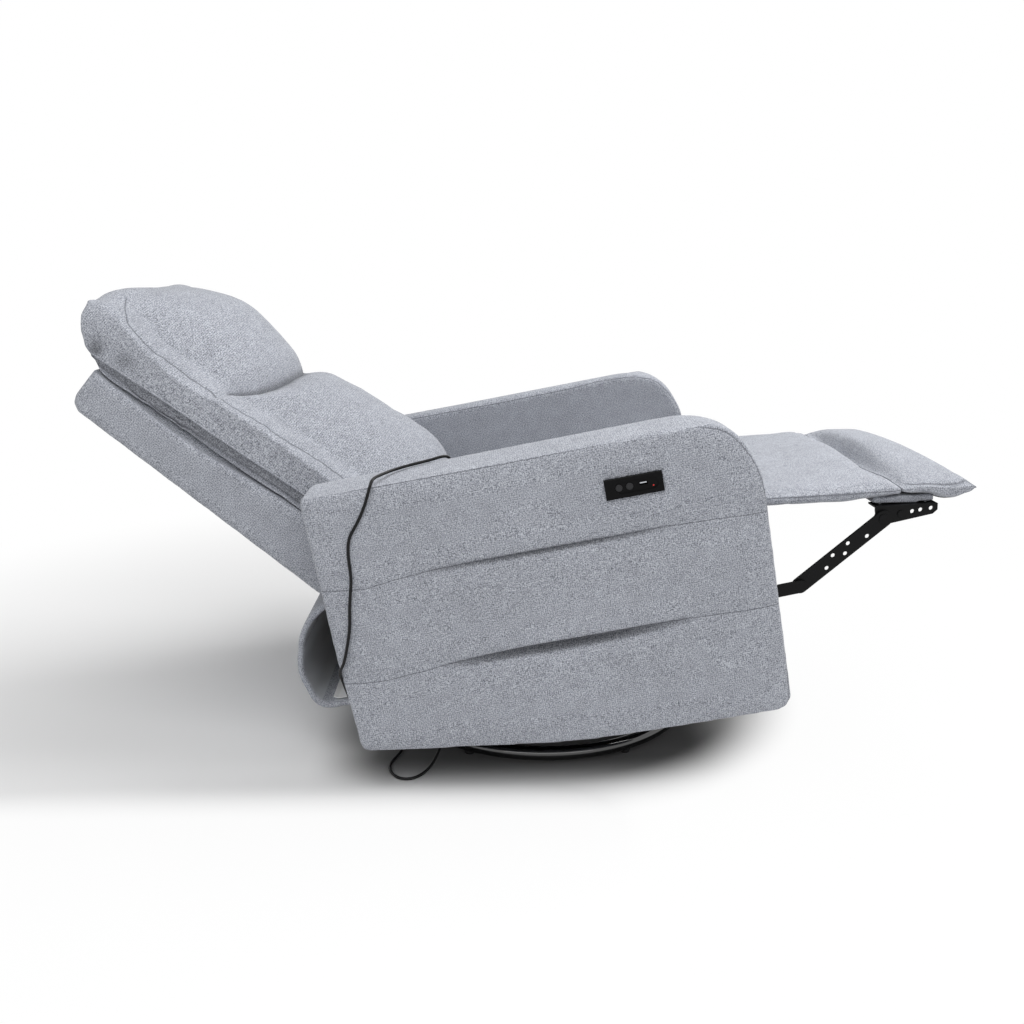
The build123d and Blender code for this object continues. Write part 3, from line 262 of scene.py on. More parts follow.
def wovenCloth(name, slant):
    material, tree, shader = newMaterial(name, 0.92, 0.25)
    turn = {"Rotation": (0.0, math.radians(slant["turn"]), 0.0)}
    place = addNode(tree, "ShaderNodeTexCoord")
    turned = addNode(tree, "ShaderNodeMapping", turn, {"Vector": place.outputs["Object"]})
    facing = addNode(tree, "ShaderNodeMapping", turn, {"Vector": place.outputs["Normal"]})
    # yarns run in the surface: the direction that a face looks along counts for nothing on it
    side = vectors(tree, "ABSOLUTE", links={0: facing.outputs["Vector"]})
    lying = vectors(tree, "SUBTRACT", {0: (1.02, 1.02, 1.02)}, {1: side.outputs["Vector"]})
    weight = vectors(tree, "MULTIPLY", links={0: lying.outputs["Vector"], 1: lying.outputs["Vector"]})
    total = vectors(tree, "DOT_PRODUCT", {1: (1, 1, 1)}, {0: weight.outputs["Vector"]})
    dashes = addNode(tree, "ShaderNodeCombineXYZ")
    for axis in range(3):
        stretch = [1 / clothScale["yarn"]] * 3
        stretch[axis] = 1 / clothScale["dash"]
        laid = addNode(tree, "ShaderNodeMapping", {"Scale": stretch, "Location": (axis * 7.3, 0.0, axis * 3.1)},
                       {"Vector": turned.outputs["Vector"]})
        yarn = addNode(tree, "ShaderNodeTexNoise", {"Scale": 1.0, "Detail": 1.0, "Roughness": 0.5},
                       {"Vector": laid.outputs["Vector"]})
        tree.links.new(yarn.outputs["Fac"], dashes.inputs[axis])
    phase = vectors(tree, "SCALE", {"Scale": 2 * math.pi / clothScale["rib"]}, {0: turned.outputs["Vector"]})
    wave = vectors(tree, "SINE", links={0: phase.outputs["Vector"]})
    ribs = vectors(tree, "SCALE", {"Scale": clothScale["ribDepth"]}, {0: wave.outputs["Vector"]})
    woven = vectors(tree, "ADD", links={0: dashes.outputs["Vector"], 1: ribs.outputs["Vector"]})
    summed = vectors(tree, "DOT_PRODUCT", links={0: woven.outputs["Vector"], 1: weight.outputs["Vector"]})
    yarnTone = maths(tree, "DIVIDE", summed.outputs["Value"], total.outputs["Value"])
    tones = addNode(tree, "ShaderNodeValToRGB", links={"Fac": yarnTone})
    ramp = tones.color_ramp
    ramp.elements[0].position, ramp.elements[0].color = 0.36, tint(clothTones["dark"])
    ramp.elements[1].position, ramp.elements[1].color = 0.64, tint(clothTones["light"])
    for position, tone in ((0.44, "shade"), (0.51, "base")):
        ramp.elements.new(position).color = tint(clothTones[tone])
    shade = tones.outputs["Color"]
    for size, reach in ((clothScale["mottle"], (0.94, 1.06)), (clothScale["drift"], (0.96, 1.04))):
        cloud = addNode(tree, "ShaderNodeTexNoise", {"Scale": 1 / size, "Detail": 2.0},
                        {"Vector": turned.outputs["Vector"]})
        span = spanned(tree, cloud.outputs["Fac"], (0.3, 0.7), reach)
        shade = vectors(tree, "SCALE", links={0: shade, "Scale": span}).outputs["Vector"]
    # painted shade: where the fold attribute is set (in folds, creases and set-back strips) the cloth's tone is
    # painted darker
    fold = addNode(tree, "ShaderNodeAttribute", {"attribute_name": "fold"})
    span = spanned(tree, fold.outputs["Fac"], target=(1.0, clothTones["paintedShadeInFold"]))
    shade = vectors(tree, "SCALE", links={0: shade, "Scale": span}).outputs["Vector"]
    # each seam attribute holds 1 m plus the signed distance from its seam
    stitched = None
    for seam in ("seamA", "seamB", "seamC"):
        read = addNode(tree, "ShaderNodeAttribute", {"attribute_name": seam})
        away = maths(tree, "ABSOLUTE", maths(tree, "SUBTRACT", read.outputs["Fac"], 1.0))
        line = spanned(tree, away, clothScale["stitch"], (1.0, 0.0), True)
        stitched = line if stitched is None else maths(tree, "MAXIMUM", stitched, line)
    sewn = addNode(tree, "ShaderNodeMix", {"data_type": "RGBA", 7: tint(clothTones["seam"])},
                   {0: maths(tree, "MULTIPLY", stitched, clothTones["inSeam"]), 6: shade})
    tree.links.new(sewn.outputs[2], shader.inputs["Base Color"])
    dip = maths(tree, "MULTIPLY_ADD", stitched, -1.5, yarnTone)
    relief = addNode(tree, "ShaderNodeBump", {"Strength": 0.5, "Distance": clothScale["relief"]}, {"Height": dip})
    tree.links.new(relief.outputs["Normal"], shader.inputs["Normal"])
    shader.inputs["Sheen Weight"].default_value = 0.15
    shader.inputs["Sheen Roughness"].default_value = 0.45
    return material


chairCloth = wovenCloth("wovenClothOnChair", chairFrame)
backCloth = wovenCloth("wovenClothOnBack", backFrame)
restCloth = wovenCloth("wovenClothOnFootrest", restFrame)


def flecked(name, colour, spread, grain, rough, specular=0.5, metal=0.0, depth=0.0002, strength=0.3):
    # one colour with a fine grain in tone and in relief
    material, tree, shader = newMaterial(name, rough, specular, metal)
    place = addNode(tree, "ShaderNodeTexCoord")
    speck = addNode(tree, "ShaderNodeTexNoise", {"Scale": 1 / grain, "Detail": 2.0},
                    {"Vector": place.outputs["Object"]})
    deep = tint(colour)
    pale = tuple(min(1.0, c * (1 + spread) + 0.01 * spread) for c in deep[:3]) + (1.0,)
    mixed = addNode(tree, "ShaderNodeMix", {"data_type": "RGBA", 6: deep, 7: pale}, {0: speck.outputs["Fac"]})
    tree.links.new(mixed.outputs[2], shader.inputs["Base Color"])
    relief = addNode(tree, "ShaderNodeBump", {"Strength": strength, "Distance": depth},
                     {"Height": speck.outputs["Fac"]})
    tree.links.new(relief.outputs["Normal"], shader.inputs["Normal"])
    return material


# spun-bonded dust cover: thin black felt under the seat and the footrest, dull, with a dry fibre grain
dustCover = flecked("spunBondedDustCover", "#0d0d0e", 0.9, 0.0016, 0.9, 0.15)
# smooth backing cloth inside the apron: plain grey lining, calendered, so it has a soft even gloss
apronLining = flecked("calenderedLiningCloth", "#adb1b6", 0.10, 0.0014, 0.62, 0.3)
# card tack strip: pale pulp board, matt
tackCard = flecked("palePulpCard", "#d9dadb", 0.06, 0.003, 0.8, 0.2)


# soft forms: each starts as a copy of its CAD solids
def copyForm(name, sources):
    form = bmesh.new()
    for source in sources:
        form.from_mesh(nodes[source].data)
    bmesh.ops.remove_doubles(form, verts=form.verts, dist=1e-5)
    return meshPiece(name, form)


def readRows(items, field):
    rows = np.empty(len(items) * 3)
    items.foreach_get(field, rows)
    return rows.reshape(-1, 3)


def readPoints(mesh):
    return readRows(mesh.vertices, "co")


def writePoints(mesh, points):
    mesh.vertices.foreach_set("co", points.astype(np.float32).ravel())
    mesh.update()


def settle(piece):
    # the piece's modifiers are worked into its mesh
    made = bpy.data.meshes.new_from_object(piece.evaluated_get(bpy.context.evaluated_depsgraph_get()))
    piece.modifiers.clear()
    old = piece.data
    piece.data = made
    bpy.data.meshes.remove(old)
    made.name = piece.name
    return piece


def outerShell(piece):
    # only the largest closed skin stays
    form = bmesh.new()
    form.from_mesh(piece.data)
    form.verts.ensure_lookup_table()
    seen, skins = set(), []
    for start in form.verts:
        if start in seen:
            continue
        skin, queue = [], [start]
        seen.add(start)
        while queue:
            here = queue.pop()
            skin.append(here)
            for edge in here.link_edges:
                there = edge.other_vert(here)
                if there not in seen:
                    seen.add(there)
                    queue.append(there)
        skins.append(skin)
    skins.sort(key=len)
    for skin in skins[:-1]:
        bmesh.ops.delete(form, geom=skin, context="VERTS")
    form.to_mesh(piece.data)
    form.free()


def remeshed(piece, voxel, relax=4):
    cells = piece.modifiers.new("cells", "REMESH")
    cells.mode = "VOXEL"
    cells.voxel_size = voxel
    settle(piece)
    outerShell(piece)
    if relax:
        even = piece.modifiers.new("even", "SMOOTH")
        even.factor = 0.5
        even.iterations = relax
        settle(piece)
    return piece


# an arm swells only further out than this, so its inner face keeps its plane
outerFace = (0.33, 0.37)


def puffed(pieces, frames=20):
    # each piece is drawn in a little, then pressure swells them all at once, no point further than its cap;
    # "free" is how much of that each direction of the piece's frame keeps, so that sewn outlines hold their size
    starts = []
    for piece, facts in pieces:
        whole = readPoints(piece.data)
        writePoints(piece.data, whole - facts["drawIn"] * readRows(piece.data.vertices, "normal"))
        starts.append((whole, readPoints(piece.data)))
        cloth = piece.modifiers.new("cloth", "CLOTH")
        cloth.settings.quality = 5
        cloth.settings.mass = 0.3
        cloth.settings.use_pressure = True
        cloth.settings.uniform_pressure_force = facts["pressure"]
        cloth.settings.effector_weights.gravity = 0.0
        cloth.collision_settings.use_collision = False
        cloth.point_cache.frame_start = 1
        cloth.point_cache.frame_end = frames
    for step in range(1, frames + 1):
        scene.frame_set(step)
    for (piece, facts), (whole, start) in zip(pieces, starts):
        settle(piece)
        moved = readPoints(piece.data) - start
        far = np.linalg.norm(moved, axis=1, keepdims=True)
        moved *= facts["cap"] * np.tanh(far / facts["cap"]) / np.maximum(far, 1e-9)
        held = toLocal(whole, facts["frame"])
        share = np.array(facts["free"]) * (ease(np.abs(whole[:, 1:2]), *outerFace) if facts.get("outerOnly") else 1.0)
        freed = held + share * (toLocal(start + moved, facts["frame"]) - held)
        writePoints(piece.data, toRow(freed, facts["frame"]))
        print(piece.name, "swelled", round(float(np.median(far)) * 1000, 1), "mm before its cap")
    scene.frame_set(1)


def subdivided(piece, levels=1):
    finer = piece.modifiers.new("finer", "SUBSURF")
    finer.levels = finer.render_levels = levels
    settle(piece)
    piece.data.polygons.foreach_set("use_smooth", [True] * len(piece.data.polygons))
    return piece


def mark(piece, name, values):
    layer = piece.data.attributes.get(name) or piece.data.attributes.new(name, "FLOAT", "POINT")
    layer.data.foreach_set("value", np.asarray(values, dtype=np.float32))


def markSeam(piece, name, gap, where=None):
    # away from where the seam runs, the stored distance is made large
    mark(piece, name, 1.0 + (gap if where is None else np.where(where, gap, 0.5)))


def dented(away, along, across, depth):
    # depth of a soft dimple at the offsets given
    return depth * np.exp(-(away[0] / along) ** 2 - (away[1] / across) ** 2)


# arms: the seams and folds of the outer face, in the chair's frame (x forward, z up)
armFacts = {
    "voxel": 0.0064,
    "puff": {"pressure": 4.0, "drawIn": 0.004, "cap": 0.0052, "frame": chairFrame, "free": (0, 1, 0),
             "outerOnly": True},
    "topSeam": ((-0.340, 0.4255), (-0.319, 0.427), (-0.200, 0.4245), (0.0, 0.4235), (0.163, 0.426), (0.219, 0.430),
                (0.273, 0.428), (0.303, 0.425), (0.333, 0.414), (0.347, 0.403), (0.360, 0.385), (0.373, 0.361),
                (0.379, 0.345), (0.384, 0.324), (0.387, 0.299), (0.389, 0.251), (0.390, 0.206), (0.391, 0.115),
                (0.388, 0.019), (0.385, -0.034), (0.380, -0.080)),
    # in each seam, dark is how strongly its crease is painted in shade
    "upperSeam": {"x": (-0.340, -0.315, -0.280, -0.255, -0.212, -0.144, -0.077, 0.060, 0.156, 0.228, 0.315, 0.393),
                  "z": (0.2722, 0.2718, 0.2680, 0.2662, 0.2718, 0.2768, 0.2775, 0.2773, 0.2773, 0.2785, 0.2751,
                        0.2700),
                  "fold": (-0.165, 0.245), "deep": 0.0055, "above": 0.0042, "below": 0.0075, "dark": 0.85},
    "lowerSeam": {"x": (-0.340, -0.308, -0.258, -0.194, -0.158, -0.034, 0.098, 0.245, 0.326, 0.395),
                  "z": (0.1095, 0.1092, 0.1065, 0.1112, 0.1150, 0.1188, 0.1180, 0.1191, 0.1157, 0.1126),
                  "fold": (-0.163, 0.252), "deep": 0.0115, "above": 0.0045, "below": 0.0165, "dark": 0.95},
    "dents": (((-0.222, 0.365), 0.007, 0.020, 0.0028), ((-0.318, 0.094), 0.013, 0.013, 0.0045),
              ((0.240, 0.384), 0.007, 0.009, 0.0022), ((-0.150, 0.205), 0.020, 0.030, 0.0016),
              ((0.300, 0.060), 0.030, 0.040, 0.0014), ((0.020, 0.335), 0.050, 0.022, 0.0012)),
    # how far the front and rear ends are let out, the band falls to its outer edge, and the lower edge bows down
    "frontOut": 0.0045, "rearOut": 0.0050, "bandFall": 0.0085, "bow": 0.0068,
    "panel": {"centre": (0.190, 0.3535), "half": (0.046, 0.0165), "face": -0.3975, "behind": -0.3865},
}


def sewArm(piece, outward):
    # outward is the sign of Y on the arm's outer face
    here = toLocal(readPoints(piece.data), chairFrame)
    x, y, z = here[:, 0].copy(), here[:, 1] * outward, here[:, 2].copy()
    face = ease(y, 0.380, 0.393)
    inset, paintedShade = np.zeros(len(x)), np.zeros(len(x))
    for seam in (armFacts["upperSeam"], armFacts["lowerSeam"]):
        gap = z - np.interp(x, seam["x"], seam["z"])
        share = np.clip((x - seam["fold"][0]) / (seam["fold"][1] - seam["fold"][0]), 0.0, 1.0)
        swell = np.sin(math.pi * share) ** 0.55
        above, below = 0.004 + (seam["above"] - 0.004) * swell, 0.005 + (seam["below"] - 0.005) * swell
        cut = np.where(gap > 0, 1.0 - ease(gap, 0.0, above), 1.0 - ease(-gap, 0.0, below))
        inset += (0.0013 + (seam["deep"] - 0.0013) * swell) * cut
        inset += 0.0024 * np.exp(-(gap / 0.030) ** 2)
        fuller = 0.0018 * np.exp(-((gap - 0.017) / 0.011) ** 2) + 0.0012 * np.exp(-((gap + 0.036) / 0.014) ** 2)
        inset -= fuller * swell
        # painted shade: the lens of each crease and a thin line over it are painted darker through the fold attribute
        shaded = np.where(gap > 0, 1.0 - ease(gap, 0.0, 0.0035), 1.0 - ease(-gap, 0.62 * below, below))
        paintedShade = np.maximum(paintedShade, seam["dark"] * swell * shaded)
    for (dentX, dentZ), wide, tall, depth in armFacts["dents"]:
        inset += dented((x - dentX, z - dentZ), wide, tall, depth)
    top = signedGap(x, z, armFacts["topSeam"])
    inset += 0.0012 * np.exp(-(top / 0.0035) ** 2)
    here[:, 1] = outward * (y - face * inset)
    # the ends are let out to the sewn outline, and the band falls away a little to its outer edge
    here[:, 0] += armFacts["frontOut"] * ease(x, 0.300, 0.380)
    here[:, 0] -= armFacts["rearOut"] * ease(-x, 0.270, 0.320) * ease(z, 0.000, 0.150)
    here[:, 2] -= armFacts["bandFall"] * ease(y, 0.320, 0.400) * ease(z, 0.4245, 0.4340)
    here[:, 2] -= armFacts["bow"] * (1.0 - ease(z, -0.066, -0.035)) * np.exp(-((x + 0.020) / 0.160) ** 2)
    writePoints(piece.data, toRow(here, chairFrame))
    mark(piece, "fold", paintedShade * face)
    markSeam(piece, "seamA", top)
    for name, seam in (("seamB", armFacts["upperSeam"]), ("seamC", armFacts["lowerSeam"])):
        markSeam(piece, name, z - np.interp(x, seam["x"], seam["z"]), y > 0.372)


def pressForPanel(piece):
    # the cover is pulled in round the control panel and cut away behind it
    here = toLocal(readPoints(piece.data), chairFrame)
    x, y, z = here.T
    panel = armFacts["panel"]
    edgeX = np.abs(x - panel["centre"][0]) - panel["half"][0]
    edgeZ = np.abs(z - panel["centre"][1]) - panel["half"][1]
    far = np.hypot(np.maximum(edgeX, 0.0), np.maximum(edgeZ, 0.0))
    outer = y < -0.36
    near = np.where(outer, 1.0 - ease(far, 0.002, 0.018), 0.0)
    pressed = y + near * np.maximum(panel["face"] - y, 0.0)
    behind = outer & (edgeX < -0.003) & (edgeZ < -0.003)
    here[:, 1] = np.where(behind, np.maximum(pressed, panel["behind"]), pressed)
    writePoints(piece.data, toRow(here, chairFrame))


leftArmSources = ["arm_band_left", "arm_panel_upper_left", "arm_panel_middle_left", "arm_panel_lower_left",
                  "arm_inner_left", "arm_board_left"]
armLeft = remeshed(copyForm("armLeft", leftArmSources), armFacts["voxel"])

# seat: a boxed cushion between the arms
seatFacts = {"voxel": 0.0075, "topSeam": 0.250, "lowSeam": 0.190,
             "puff": {"pressure": 4.0, "drawIn": 0.010, "cap": 0.013, "frame": chairFrame, "free": (0.3, 0, 1)}}
seatCushion = remeshed(copyForm("seatCushion", ["seat_cushion"]), seatFacts["voxel"])


def sewSeat(piece):
    here = toLocal(readPoints(piece.data), chairFrame)
    markSeam(piece, "seamA", here[:, 2] - seatFacts["topSeam"])
    markSeam(piece, "seamB", here[:, 2] - seatFacts["lowSeam"])


# back cushion: lumbar and pillow share one side panel, so they are one cover with a curved crease between them.
# In the back's frame x leads out of the back and z up along it; seams are runs of (out, up)
backFacts = {
    "voxel": 0.0062, "bridged": (0.305, 0.445),
    "puff": {"pressure": 4.0, "drawIn": 0.009, "cap": 0.012, "frame": backFrame, "free": (1, 0.35, 0)},
    "crease": {"side": (0.0, 0.078, 0.099, 0.128, 0.164, 0.190, 0.206, 0.219, 0.229, 0.239),
               "up": (0.3800, 0.3845, 0.3875, 0.3935, 0.4068, 0.4250, 0.4380, 0.4445, 0.4570, 0.4700),
               "half": 0.215, "deep": 0.034, "edge": 0.006, "lumbar": 0.058, "pillow": 0.062},
    # how much fuller than its solid the crown is along the back
    "crown": {"up": (0.030, 0.050, 0.070, 0.090, 0.120, 0.150, 0.180, 0.205, 0.230, 0.255, 0.280, 0.305, 0.330,
                     0.355, 0.380, 0.405, 0.430, 0.455, 0.480, 0.505, 0.530, 0.555, 0.580, 0.605, 0.630, 0.655,
                     0.680, 0.705),
              "full": (0.028, 0.036, 0.026, 0.016, 0.004, -0.005, -0.008, -0.0105, -0.0077, -0.0059, -0.0043,
                       -0.0057, -0.0083, -0.0078, -0.0095, -0.0120, -0.0125, -0.0104, -0.0095, -0.0070, -0.0030,
                       -0.0012, -0.0026, -0.0059, -0.0083, -0.0104, -0.0030, 0.0080)},
    # the pillow's far end is full at its corners and tucked in under them
    "endFull": (0.021, 0.007),
    "tuck": {"out": (0.0735, 0.0843, 0.0960, 0.1066, 0.133, 0.150),
             "up": (0.5993, 0.6276, 0.6644, 0.6855, 0.697, 0.760)},
    "sideSeam": ((0.1850, 0.7300), (0.1766, 0.6820), (0.1609, 0.6250), (0.1584, 0.5710), (0.1615, 0.5000),
                 (0.1706, 0.4420), (0.1788, 0.3610), (0.1819, 0.2980), (0.1926, 0.1970), (0.2000, 0.0100)),
    "welt": {"up": (0.020, 0.238, 0.347, 0.4396, 0.5127, 0.584, 0.662),
             "out": (0.1340, 0.1253, 0.1160, 0.1093, 0.1057, 0.0983, 0.0915)},
    "pipe": 0.0016, "panelSide": 0.2725, "stripSide": 0.2665, "stripBack": 0.026,
    "puckers": (((0.178, 0.624), 0.011, 0.022, 0.0034), ((0.167, 0.556), 0.009, 0.024, 0.0026),
                ((0.152, 0.454), 0.009, 0.026, 0.0040), ((0.1057, 0.642), 0.013, 0.014, 0.0080),
                ((0.1146, 0.5936), 0.010, 0.016, 0.0045), ((0.156, 0.505), 0.008, 0.020, 0.0024),
                ((0.180, 0.300), 0.008, 0.022, 0.0020), ((0.186, 0.150), 0.012, 0.026, 0.0024)),
}


def backCover():
    # the gap between the two cushions is bridged by a hull before they are remeshed as one
    piece = remeshed(copyForm("backCushion", ["lumbar_cushion", "head_pillow"]), backFacts["voxel"], 0)
    points = readPoints(piece.data)
    up = toLocal(points, backFrame)[:, 2]
    low, high = backFacts["bridged"]
    form = bmesh.new()
    for place in points[(up > low) & (up < high)]:
        form.verts.new(place)
    hull = bmesh.ops.convex_hull(form, input=form.verts, use_existing_faces=False)
    bmesh.ops.delete(form, geom=list({g for g in hull["geom_interior"] + hull["geom_unused"]
                                      if isinstance(g, bmesh.types.BMVert)}), context="VERTS")
    form.from_mesh(piece.data)
    form.to_mesh(piece.data)
    form.free()
    return remeshed(piece, backFacts["voxel"], 6)


def sewBack(piece):
    here = toLocal(readPoints(piece.data), backFrame)
    out, y, up = here[:, 0].copy(), here[:, 1].copy(), here[:, 2].copy()
    side, outward = np.abs(y), np.sign(y)
    crease = backFacts["crease"]
    away = up - np.interp(side, crease["side"], crease["up"])
    middle = np.clip(1.0 - (side / crease["half"]) ** 4, 0.0, 1.0)
    deep = (crease["edge"] + (crease["deep"] - crease["edge"]) * middle) * (1.0 - ease(side, 0.213, 0.238))
    wide = np.where(away < 0, crease["lumbar"], crease["pillow"]) * (0.30 + 0.70 * middle)
    crown = ease(out, 0.125, 0.165)
    here[:, 0] -= deep * crown * np.clip(1.0 - np.abs(away) / wide, 0.0, 1.0) ** 2
    here[:, 0] += np.interp(up, backFacts["crown"]["up"], backFacts["crown"]["full"]) * ease(out, 0.13, 0.19) * (
        1.0 - ease(side, 0.200, 0.265))
    end = ease(up, 0.56, 0.69) * ease(side, 0.02, 0.19) * (1.0 - ease(side, 0.262, 0.284)) * ease(out, 0.100, 0.150)
    here[:, 0] += backFacts["endFull"][0] * end
    here[:, 2] += backFacts["endFull"][1] * end
    limit = np.interp(out, backFacts["tuck"]["out"], backFacts["tuck"]["up"])
    here[:, 2] = np.where(here[:, 2] > limit, limit + 0.12 * (here[:, 2] - limit), here[:, 2])
    # below the welt the side is a set-back strip, above it the panel stands proud
    flank = ease(side, 0.232, 0.252)
    under = np.interp(up, backFacts["welt"]["up"], backFacts["welt"]["out"]) - out
    seam = signedGap(out, up, backFacts["sideSeam"])
    groove = np.exp(-(seam / 0.0045) ** 2) * (0.0022 + 0.0007 * np.sin(up / 0.0034))
    ripple = 0.0010 * np.exp(-(seam / 0.022) ** 2) * np.sin(up / 0.0062 + 3.0 * np.sin(up / 0.031))
    for (dentOut, dentUp), wideOut, wideUp, depth in backFacts["puckers"]:
        groove = groove + dented((out - dentOut, up - dentUp), wideOut, wideUp, depth)
    nearSide = ease(side, 0.185, 0.205)
    strip = flank * ease(under, -0.0005, 0.0040)
    # the side panel stands nearly square to the top, and the strip under it is flat
    seamRun = np.array(backFacts["sideSeam"])[::-1]
    beneath = np.interp(up, seamRun[:, 1], seamRun[:, 0]) - out
    squared = ease(side, 0.190, 0.240) * ease(beneath, -0.014, -0.002)
    squared = squared * (1.0 - strip) * (1.0 - ease(up, 0.610, 0.690))
    side = side + squared * np.maximum(backFacts["panelSide"] - side, 0.0)
    side = side + strip * (backFacts["stripSide"] - side)
    here[:, 1] = outward * (side - nearSide * (1.0 - strip) * 0.75 * (groove + ripple))
    here[:, 0] -= strip * (1.0 - ease(out, 0.084, 0.100)) * (1.0 - ease(up, 0.500, 0.600)) * backFacts["stripBack"]
    here[:, 0] -= nearSide * 0.65 * (groove + ripple) * ease(out, 0.06, 0.10)
    writePoints(piece.data, toRow(here, backFrame))
    # painted shade: the cloth is painted darker along the crease, in the tucked corners of the pillow's end and on
    # the set-back strip under the welt
    dark = 0.75 * (1.0 - ease(np.abs(away), 0.0, 0.004 + 0.010 * middle)) * (1.0 - ease(side, 0.205, 0.226)) * crown
    paintedCornerShade = ease(side, 0.18, 0.23) * (0.85 * dented((out - 0.1057, up - 0.642), 0.012, 0.013, 1.0)
                                       + 0.45 * dented((out - 0.1146, up - 0.5936), 0.012, 0.013, 1.0))
    mark(piece, "fold", np.minimum(1.0, np.maximum(dark, 0.55 * flank * ease(under, 0.001, 0.005)) + paintedCornerShade))
    markSeam(piece, "seamA", seam, side > 0.19)
    markSeam(piece, "seamB", away, (side < 0.222) & (out > 0.12))


def weltPiping(name, cushion, hand):
    # a corded welt laid along the edge of the side panel, on the finished cover
    here = toLocal(readPoints(cushion.data), backFrame)
    route = []
    for up in np.linspace(0.050, 0.640, 26):
        out = float(np.interp(up, backFacts["welt"]["up"], backFacts["welt"]["out"]))
        close = (np.abs(here[:, 2] - up) < 0.006) & (np.abs(here[:, 0] - out - 0.004) < 0.005)
        if close.any():
            route.append((out + 0.0005, hand * float((hand * here[close, 1]).max()), up))
    route = np.array(route)
    for step in range(3):
        route[1:-1] = (route[:-2] + 2 * route[1:-1] + route[2:]) / 4
    curve = bpy.data.curves.new(name, "CURVE")
    curve.dimensions = "3D"
    run = curve.splines.new("POLY")
    run.points.add(len(route) - 1)
    for point, place in zip(run.points, toRow(route, backFrame)):
        point.co = (*place, 1.0)
    curve.bevel_depth = backFacts["pipe"]
    curve.bevel_resolution = 3
    curve.use_fill_caps = True
    made = placed(name, curve)
    mesh = bpy.data.meshes.new_from_object(made.evaluated_get(bpy.context.evaluated_depsgraph_get()))
    bpy.data.objects.remove(made)
    bpy.data.curves.remove(curve)
    mesh.name = name
    piece = placed(name, mesh)
    piece.data.polygons.foreach_set("use_smooth", [True] * len(piece.data.polygons))
    return piece


def sewShell(piece):
    # the shell's cover is turned in lower at the sides, under the cushion's strip
    here = toLocal(readPoints(piece.data), backFrame)
    rim = np.interp(here[:, 2], shellFacts["rim"]["up"], shellFacts["rim"]["out"])
    share = ease(np.abs(here[:, 1]), 0.252, 0.266) * shellFacts["turned"]
    here[:, 0] -= share * np.maximum(here[:, 0] - rim, 0.0)
    writePoints(piece.data, toRow(here, backFrame))


shellFacts = {"voxel": 0.0076, "turned": 0.85,
              "rim": {"up": (0.150, 0.2269, 0.3236, 0.4127, 0.4798, 0.620),
                      "out": (0.1080, 0.0985, 0.0872, 0.0751, 0.0725, 0.0735)}}
backCushion = backCover()
# tight cover over the back's frame
backShell = remeshed(copyForm("backShell", ["back_frame"]), shellFacts["voxel"], 3)

# footrest: bolster, chaise pad and the wrapped board under them, in the rest's frame
restFacts = {
    "voxel": {"bolsterPad": 0.004, "chaisePad": 0.005, "restBoard": 0.004},
    "bolsterPuff": {"pressure": 4.0, "drawIn": 0.0050, "cap": 0.0080, "frame": restFrame, "free": (0.15, 0, 1)},
    "padPuff": {"pressure": 4.0, "drawIn": 0.0030, "cap": 0.0060, "frame": restFrame, "free": (0, 0, 1)},
    "bolsterSeam": ((-0.010, 0.0505), (0.034, 0.0526), (0.146, 0.0556), (0.1615, 0.0438), (0.170, 0.034)),
    "padSeam": 0.0455,
    "valley": {"y": (-0.283, -0.262, -0.220, -0.160, -0.060, 0.040, 0.180, 0.270),
               "x": (0.0333, 0.0270, 0.0184, 0.0285, 0.0385, 0.0422, 0.0403, 0.0370),
               "z": (0.0650, 0.0620, 0.0540, 0.0475, 0.0430, 0.0389, 0.0429, 0.0514), "pad": 0.022, "bolster": 0.013},
    "belly": {"pad": 0.0055, "bolster": 0.0080},
    "gathers": (((0.012, -0.20), 0.016, 0.020, 0.0030), ((-0.004, -0.06), 0.018, 0.026, 0.0022),
                ((0.010, 0.09), 0.016, 0.022, 0.0028), ((-0.002, 0.21), 0.018, 0.022, 0.0024)),
}
bolsterPad, chaisePad, restBoard = (
    remeshed(copyForm(name, [source]), restFacts["voxel"][name], 3)
    for name, source in (("bolsterPad", "bolster"), ("chaisePad", "chaise_pad"), ("restBoard", "ottoman_board")))


def valley(here):
    # the two pads are sewn down together along a scalloped line
    line = restFacts["valley"]
    away = here[:, 0] - np.interp(here[:, 1], line["y"], line["x"])
    low = np.interp(here[:, 1], line["y"], line["z"])
    wide = np.where(away < 0, line["pad"], line["bolster"])
    return np.maximum(here[:, 2] - low, 0.0) * np.exp(-(away / wide) ** 2) * ease(here[:, 2], 0.040, 0.050)


def sewRest():
    here = toLocal(readPoints(bolsterPad.data), restFrame)
    markSeam(bolsterPad, "seamA", signedGap(here[:, 0], here[:, 2], restFacts["bolsterSeam"]),
             np.abs(here[:, 1]) > 0.26)
    tip = ease(here[:, 0], 0.070, 0.115) * (1.0 - 0.8 * ease(here[:, 0], 0.125, 0.162))
    belly = restFacts["belly"]["bolster"] * (1.0 - ease(here[:, 2], 0.045, 0.060))
    here[:, 2] -= valley(here) + tip * (0.002 + belly)
    writePoints(bolsterPad.data, toRow(here, restFrame))
    here = toLocal(readPoints(chaisePad.data), restFrame)
    markSeam(chaisePad, "seamA", here[:, 2] - restFacts["padSeam"])
    here[:, 2] -= valley(here) + restFacts["belly"]["pad"] * (1.0 - ease(here[:, 2], 0.036, 0.050)) * ease(
        -here[:, 0], -0.012, 0.070)
    upper = ease(here[:, 2], 0.050, 0.058)
    for (dentX, dentY), along, across, depth in restFacts["gathers"]:
        here[:, 2] -= upper * dented((here[:, 0] - dentX, here[:, 1] - dentY), along, across, depth)
    writePoints(chaisePad.data, toRow(here, restFrame))


def backFaces(piece, choose):
    # faces for which choose(centre, normal) holds take the second material
    faces = piece.data.polygons
    chosen = choose(readRows(faces, "center"), readRows(faces, "normal"))
    faces.foreach_set("material_index", chosen.astype(np.int32))
    piece.data.update()


